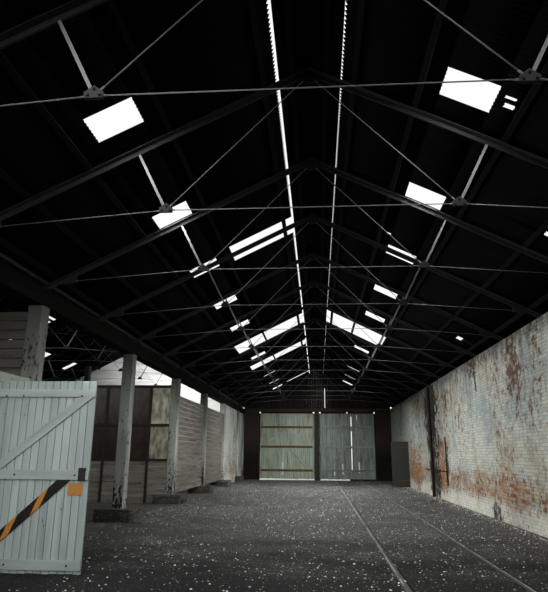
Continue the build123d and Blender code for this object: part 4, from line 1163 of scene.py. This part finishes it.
def build_debris(s):
    """Chips of mortar and glass on the nave floor: squashed irregular octahedra, half of them
    even, the others in drifts and along the wall."""
    rng = np.random.default_rng(71)
    n, drifts, margin = s.chips, 260, 0.05
    even, edge = slice(0, n // 2), slice(n // 2, n * 5 // 8)
    drift = rng.integers(0, drifts, n)
    across, along = rng.uniform(0.5, WALL_FACE - 0.3, drifts), rng.uniform(NEAR_Y, FAR_Y, drifts)
    reach = rng.uniform(0.15, 0.9, drifts)
    x, y = (middle[drift] + rng.normal(0, 1, n) * reach[drift] for middle in (across, along))
    x[even] = rng.uniform(0.2, WALL_FACE, n // 2)
    y[even] = rng.uniform(NEAR_Y, FAR_Y, n // 2)
    x[edge] = WALL_FACE - margin - np.abs(rng.normal(0, 0.16, n * 5 // 8 - n // 2))
    x = np.clip(x, 0.2, WALL_FACE - margin)
    y = np.clip(y, NEAR_Y + margin, FAR_Y - margin)
    size = 0.0045 + 0.017 * rng.random(n) ** 4
    shape = np.array([(1, 0, 0), (0, 1, 0), (-1, 0, 0), (0, -1, 0), (0, 0, 1), (0, 0, -0.1)], float)
    points = shape * rng.uniform(0.6, 1.3, (n, 6, 1)) * size[:, None, None]
    points[..., 2] *= 0.6
    turn = rng.uniform(0, 2 * np.pi, n)
    c, d = np.cos(turn)[:, None], np.sin(turn)[:, None]
    points = np.stack([points[..., 0] * c - points[..., 1] * d + x[:, None],
                       points[..., 0] * d + points[..., 1] * c + y[:, None],
                       np.maximum(points[..., 2], 0.0) + FLOOR_TOP], -1)
    faces = np.array([(0, 1, 4), (1, 2, 4), (2, 3, 4), (3, 0, 4)])
    with piece("floor_chips", "chip_pale", "", "concrete") as shell:
        shell.add(points, [((np.arange(n)[:, None, None] * 6 + faces).reshape(-1, 3),
                            np.repeat(rng.random(n), 4), 0, False)])


def lamp(name, place, target, size, strength, spread=180.0):
    """A rectangular lamp at `place` that shines at `target` and that the camera doesn't see."""
    light = bpy.data.lights.new(name, "AREA")
    light.shape, light.size, light.size_y, light.energy = "RECTANGLE", *size, strength
    light.spread = radians(spread)
    obj = bpy.data.objects.new(name, light)
    aim = (Vector(target) - Vector(place)).to_track_quat("-Z", "Y")
    obj.matrix_world = Matrix.Translation(place) @ aim.to_matrix().to_4x4()
    obj.visible_camera = False
    bpy.context.scene.collection.objects.link(obj)


def build_stage(s):
    """Pale floor, soft lamps, white surroundings and the camera of the photograph."""
    scene = bpy.context.scene
    scene.view_settings.view_transform = "Standard"
    mesh = bpy.data.meshes.new("studio_ground")
    mesh.from_pydata([(-120, -120, 0), (120, -120, 0), (120, 120, 0), (-120, 120, 0)], [],
                     [(0, 1, 2, 3)])
    mesh.materials.append(bpy.data.materials["studio_floor"])
    ground = bpy.data.objects.new("studio_ground", mesh)
    scene.collection.objects.link(ground)

    lamp("lamp_near_end", (2.6, NEAR_Y + 0.25, 3.3), (2.3, -8.0, 0.9), (4.0, 0.5), s.lamp_power,
         80.0)
    lamp("lamp_leaf", (1.9, -13.5, 4.9), (0.9, -10.3, 1.4), (0.4, 0.4), 6.0, 50.0)
    for number, (y, strength) in enumerate(((-7.0, 20.0), (1.0, 185.0), (9.0, 420.0))):
        lamp(f"lamp_nave_{number}", (NAVE_AXIS, y, 4.6), (NAVE_AXIS, y + 1.0, 0.0), (6.0, 4.0),
             strength, 150.0)
    for number, (x, y, strength) in enumerate(((1.4, -11.0, 135.0), (1.4, 0.0, 205.0),
                                               (8.0, 13.0, 160.0), (8.0, -3.0, 50.0))):
        face = WALL_FACE if x < NAVE_AXIS else 0.1
        lamp(f"lamp_wall_{number}", (x, y, 3.0), (face, y, 2.8), (9.0, 0.6), strength, 110.0)
    lamp("lamp_far_doors", (NAVE_AXIS, 13.5, 4.4), (NAVE_AXIS, FAR_Y, 2.2), (6.0, 0.6), 14.0, 110.0)
    lamp("lamp_side_bay", (-NAVE_AXIS, -3.0, 4.4), (-NAVE_AXIS, 0.0, 0.0), (6.0, 3.0), 70.0)
    lamp("lamp_side_gable", (-2.6, 6.4, 4.4), (-2.4, SIDE_FAR_Y, 5.0), (3.0, 0.8), 150.0, 100.0)
    for number, span in enumerate(ROOFLIGHTS[:6]):
        for side in (1, -1):
            out = sum(BAND_EDGES[side][1:3]) / 2
            place = Vector((NAVE_AXIS + side * out, sum(span) / 2, slope_z(out, SHEET_BASE)))
            lamp(f"lamp_rooflight_{number}_{side + 1}", place,
                 place - Vector((side * sin(atan(RISE)), 0, LEAN)), (0.48, 0.48), s.rooflight_power)
    sun = bpy.data.lights.new("lamp_key", "SUN")
    sun.energy, sun.angle = 1.6, radians(40)
    key = bpy.data.objects.new("lamp_key", sun)
    key.matrix_world = Vector((0.45, 0.75, -1.0)).to_track_quat("-Z", "Y").to_matrix().to_4x4()
    scene.collection.objects.link(key)

    world = bpy.data.worlds.new("studio_world")
    world.use_nodes = True
    node = partial(add, world.node_tree)
    world.node_tree.nodes.clear()
    seen, gloss, through = (node("LightPath", out=f"Is {ray} Ray")
                            for ray in ("Camera", "Glossy", "Transmission"))
    direct = node("Math", (node("Math", (seen, gloss), operation="MAXIMUM"), through),
                  operation="MAXIMUM")
    strength = node("MapRange", (direct, 0.0, 1.0, 0.6, 1.0))
    node("OutputWorld", (node("Background", {"Color": (1, 1, 1, 1), "Strength": strength}),))
    scene.world = world

    lens = bpy.data.cameras.new("photo_camera")
    lens.sensor_width, lens.lens = 36.0, 574.60 / 592 * 36.0
    lens.clip_start, lens.clip_end = 0.05, 500.0
    yaw, pitch, roll = radians(-4.377), radians(15.295), radians(0.477)
    forward = Vector((sin(yaw) * cos(pitch), cos(yaw) * cos(pitch), sin(pitch)))
    level = Vector((cos(yaw), -sin(yaw), 0))
    upright = level.cross(forward)
    right = level * cos(roll) + upright * sin(roll)
    up = upright * cos(roll) - level * sin(roll)
    camera = bpy.data.objects.new("photo_camera", lens)
    turn = Matrix((right, up, -forward)).transposed().to_4x4()
    camera.matrix_world = Matrix.Translation((4.81, -18.16, 1.705)) @ turn
    scene.collection.objects.link(camera)
    scene.camera = camera


# Add-on

class SHED_OT_finishes(bpy.types.Operator):
    """Make every material"""
    bl_idname, bl_label = "shed.finishes", "Finishes"

    def execute(self, context):
        make_finishes(context.scene.shed_colours)
        return {"FINISHED"}


class SHED_OT_roof(bpy.types.Operator):
    """Lay the corrugated roof sheets"""
    bl_idname, bl_label = "shed.roof", "Roof Sheeting"

    def execute(self, context):
        build_roof(context.scene.shed_sizes)
        return {"FINISHED"}


class SHED_OT_trusses(bpy.types.Operator):
    """Fit the round ties and the truss bolts"""
    bl_idname, bl_label = "shed.trusses", "Ties and Bolts"

    def execute(self, context):
        build_trusses(context.scene.shed_sizes)
        return {"FINISHED"}


class SHED_OT_brick(bpy.types.Operator):
    """Lay the brickwork"""
    bl_idname, bl_label = "shed.brick", "Brickwork"

    def execute(self, context):
        build_brick(context.scene.shed_sizes)
        return {"FINISHED"}


class SHED_OT_boards(bpy.types.Operator):
    """Nail up the boarding of gables, partitions and screens"""
    bl_idname, bl_label = "shed.boards", "Boarding"

    def execute(self, context):
        build_boards(context.scene.shed_sizes)
        return {"FINISHED"}


class SHED_OT_frame(bpy.types.Operator):
    """Set up posts, beams, blocks and the window partition"""
    bl_idname, bl_label = "shed.frame", "Timber Frame"

    def execute(self, context):
        build_frame(context.scene.shed_sizes)
        return {"FINISHED"}


class SHED_OT_doors(bpy.types.Operator):
    """Build the hung leaves"""
    bl_idname, bl_label = "shed.doors", "Doors"

    def execute(self, context):
        build_doors(context.scene.shed_sizes)
        return {"FINISHED"}


class SHED_OT_stops(bpy.types.Operator):
    """Nail the stops round the far doors"""
    bl_idname, bl_label = "shed.stops", "Door Stops"

    def execute(self, context):
        build_stops(context.scene.shed_sizes)
        return {"FINISHED"}


class SHED_OT_debris(bpy.types.Operator):
    """Scatter chips on the floor"""
    bl_idname, bl_label = "shed.debris", "Debris"

    def execute(self, context):
        build_debris(context.scene.shed_sizes)
        return {"FINISHED"}


class SHED_OT_stage(bpy.types.Operator):
    """Set up the studio floor, the lamps, the surroundings and the camera"""
    bl_idname, bl_label = "shed.stage", "Stage"

    def execute(self, context):
        build_stage(context.scene.shed_sizes)
        return {"FINISHED"}


OPERATORS = (SHED_OT_finishes, SHED_OT_roof, SHED_OT_trusses, SHED_OT_brick, SHED_OT_boards,
             SHED_OT_frame, SHED_OT_doors, SHED_OT_stops, SHED_OT_debris, SHED_OT_stage)


class SHED_PT_panel(bpy.types.Panel):
    """The shed's steps, in the order in which they are run"""
    bl_label, bl_space_type, bl_region_type = "Goods Shed", "VIEW_3D", "UI"
    bl_category = "Goods Shed"

    def draw(self, context):
        for operator in OPERATORS:
            self.layout.operator(operator.bl_idname)


CLASSES = (ShedSizes, ShedColours) + OPERATORS + (SHED_PT_panel,)


def register():
    for cls in CLASSES:
        bpy.utils.register_class(cls)
    bpy.types.Scene.shed_sizes = PointerProperty(type=ShedSizes)
    bpy.types.Scene.shed_colours = PointerProperty(type=ShedColours)


def unregister():
    del bpy.types.Scene.shed_sizes, bpy.types.Scene.shed_colours
    for cls in reversed(CLASSES):
        bpy.utils.unregister_class(cls)


def main():
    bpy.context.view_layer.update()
    register()
    bpy.ops.shed.finishes()
    bpy.ops.shed.roof()
    bpy.ops.shed.trusses()
    bpy.ops.shed.brick()
    bpy.ops.shed.boards()
    bpy.ops.shed.frame()
    bpy.ops.shed.doors()
    bpy.ops.shed.stops()
    bpy.ops.shed.debris()
    bpy.ops.shed.stage()


if __name__ == "__main__":
    main()
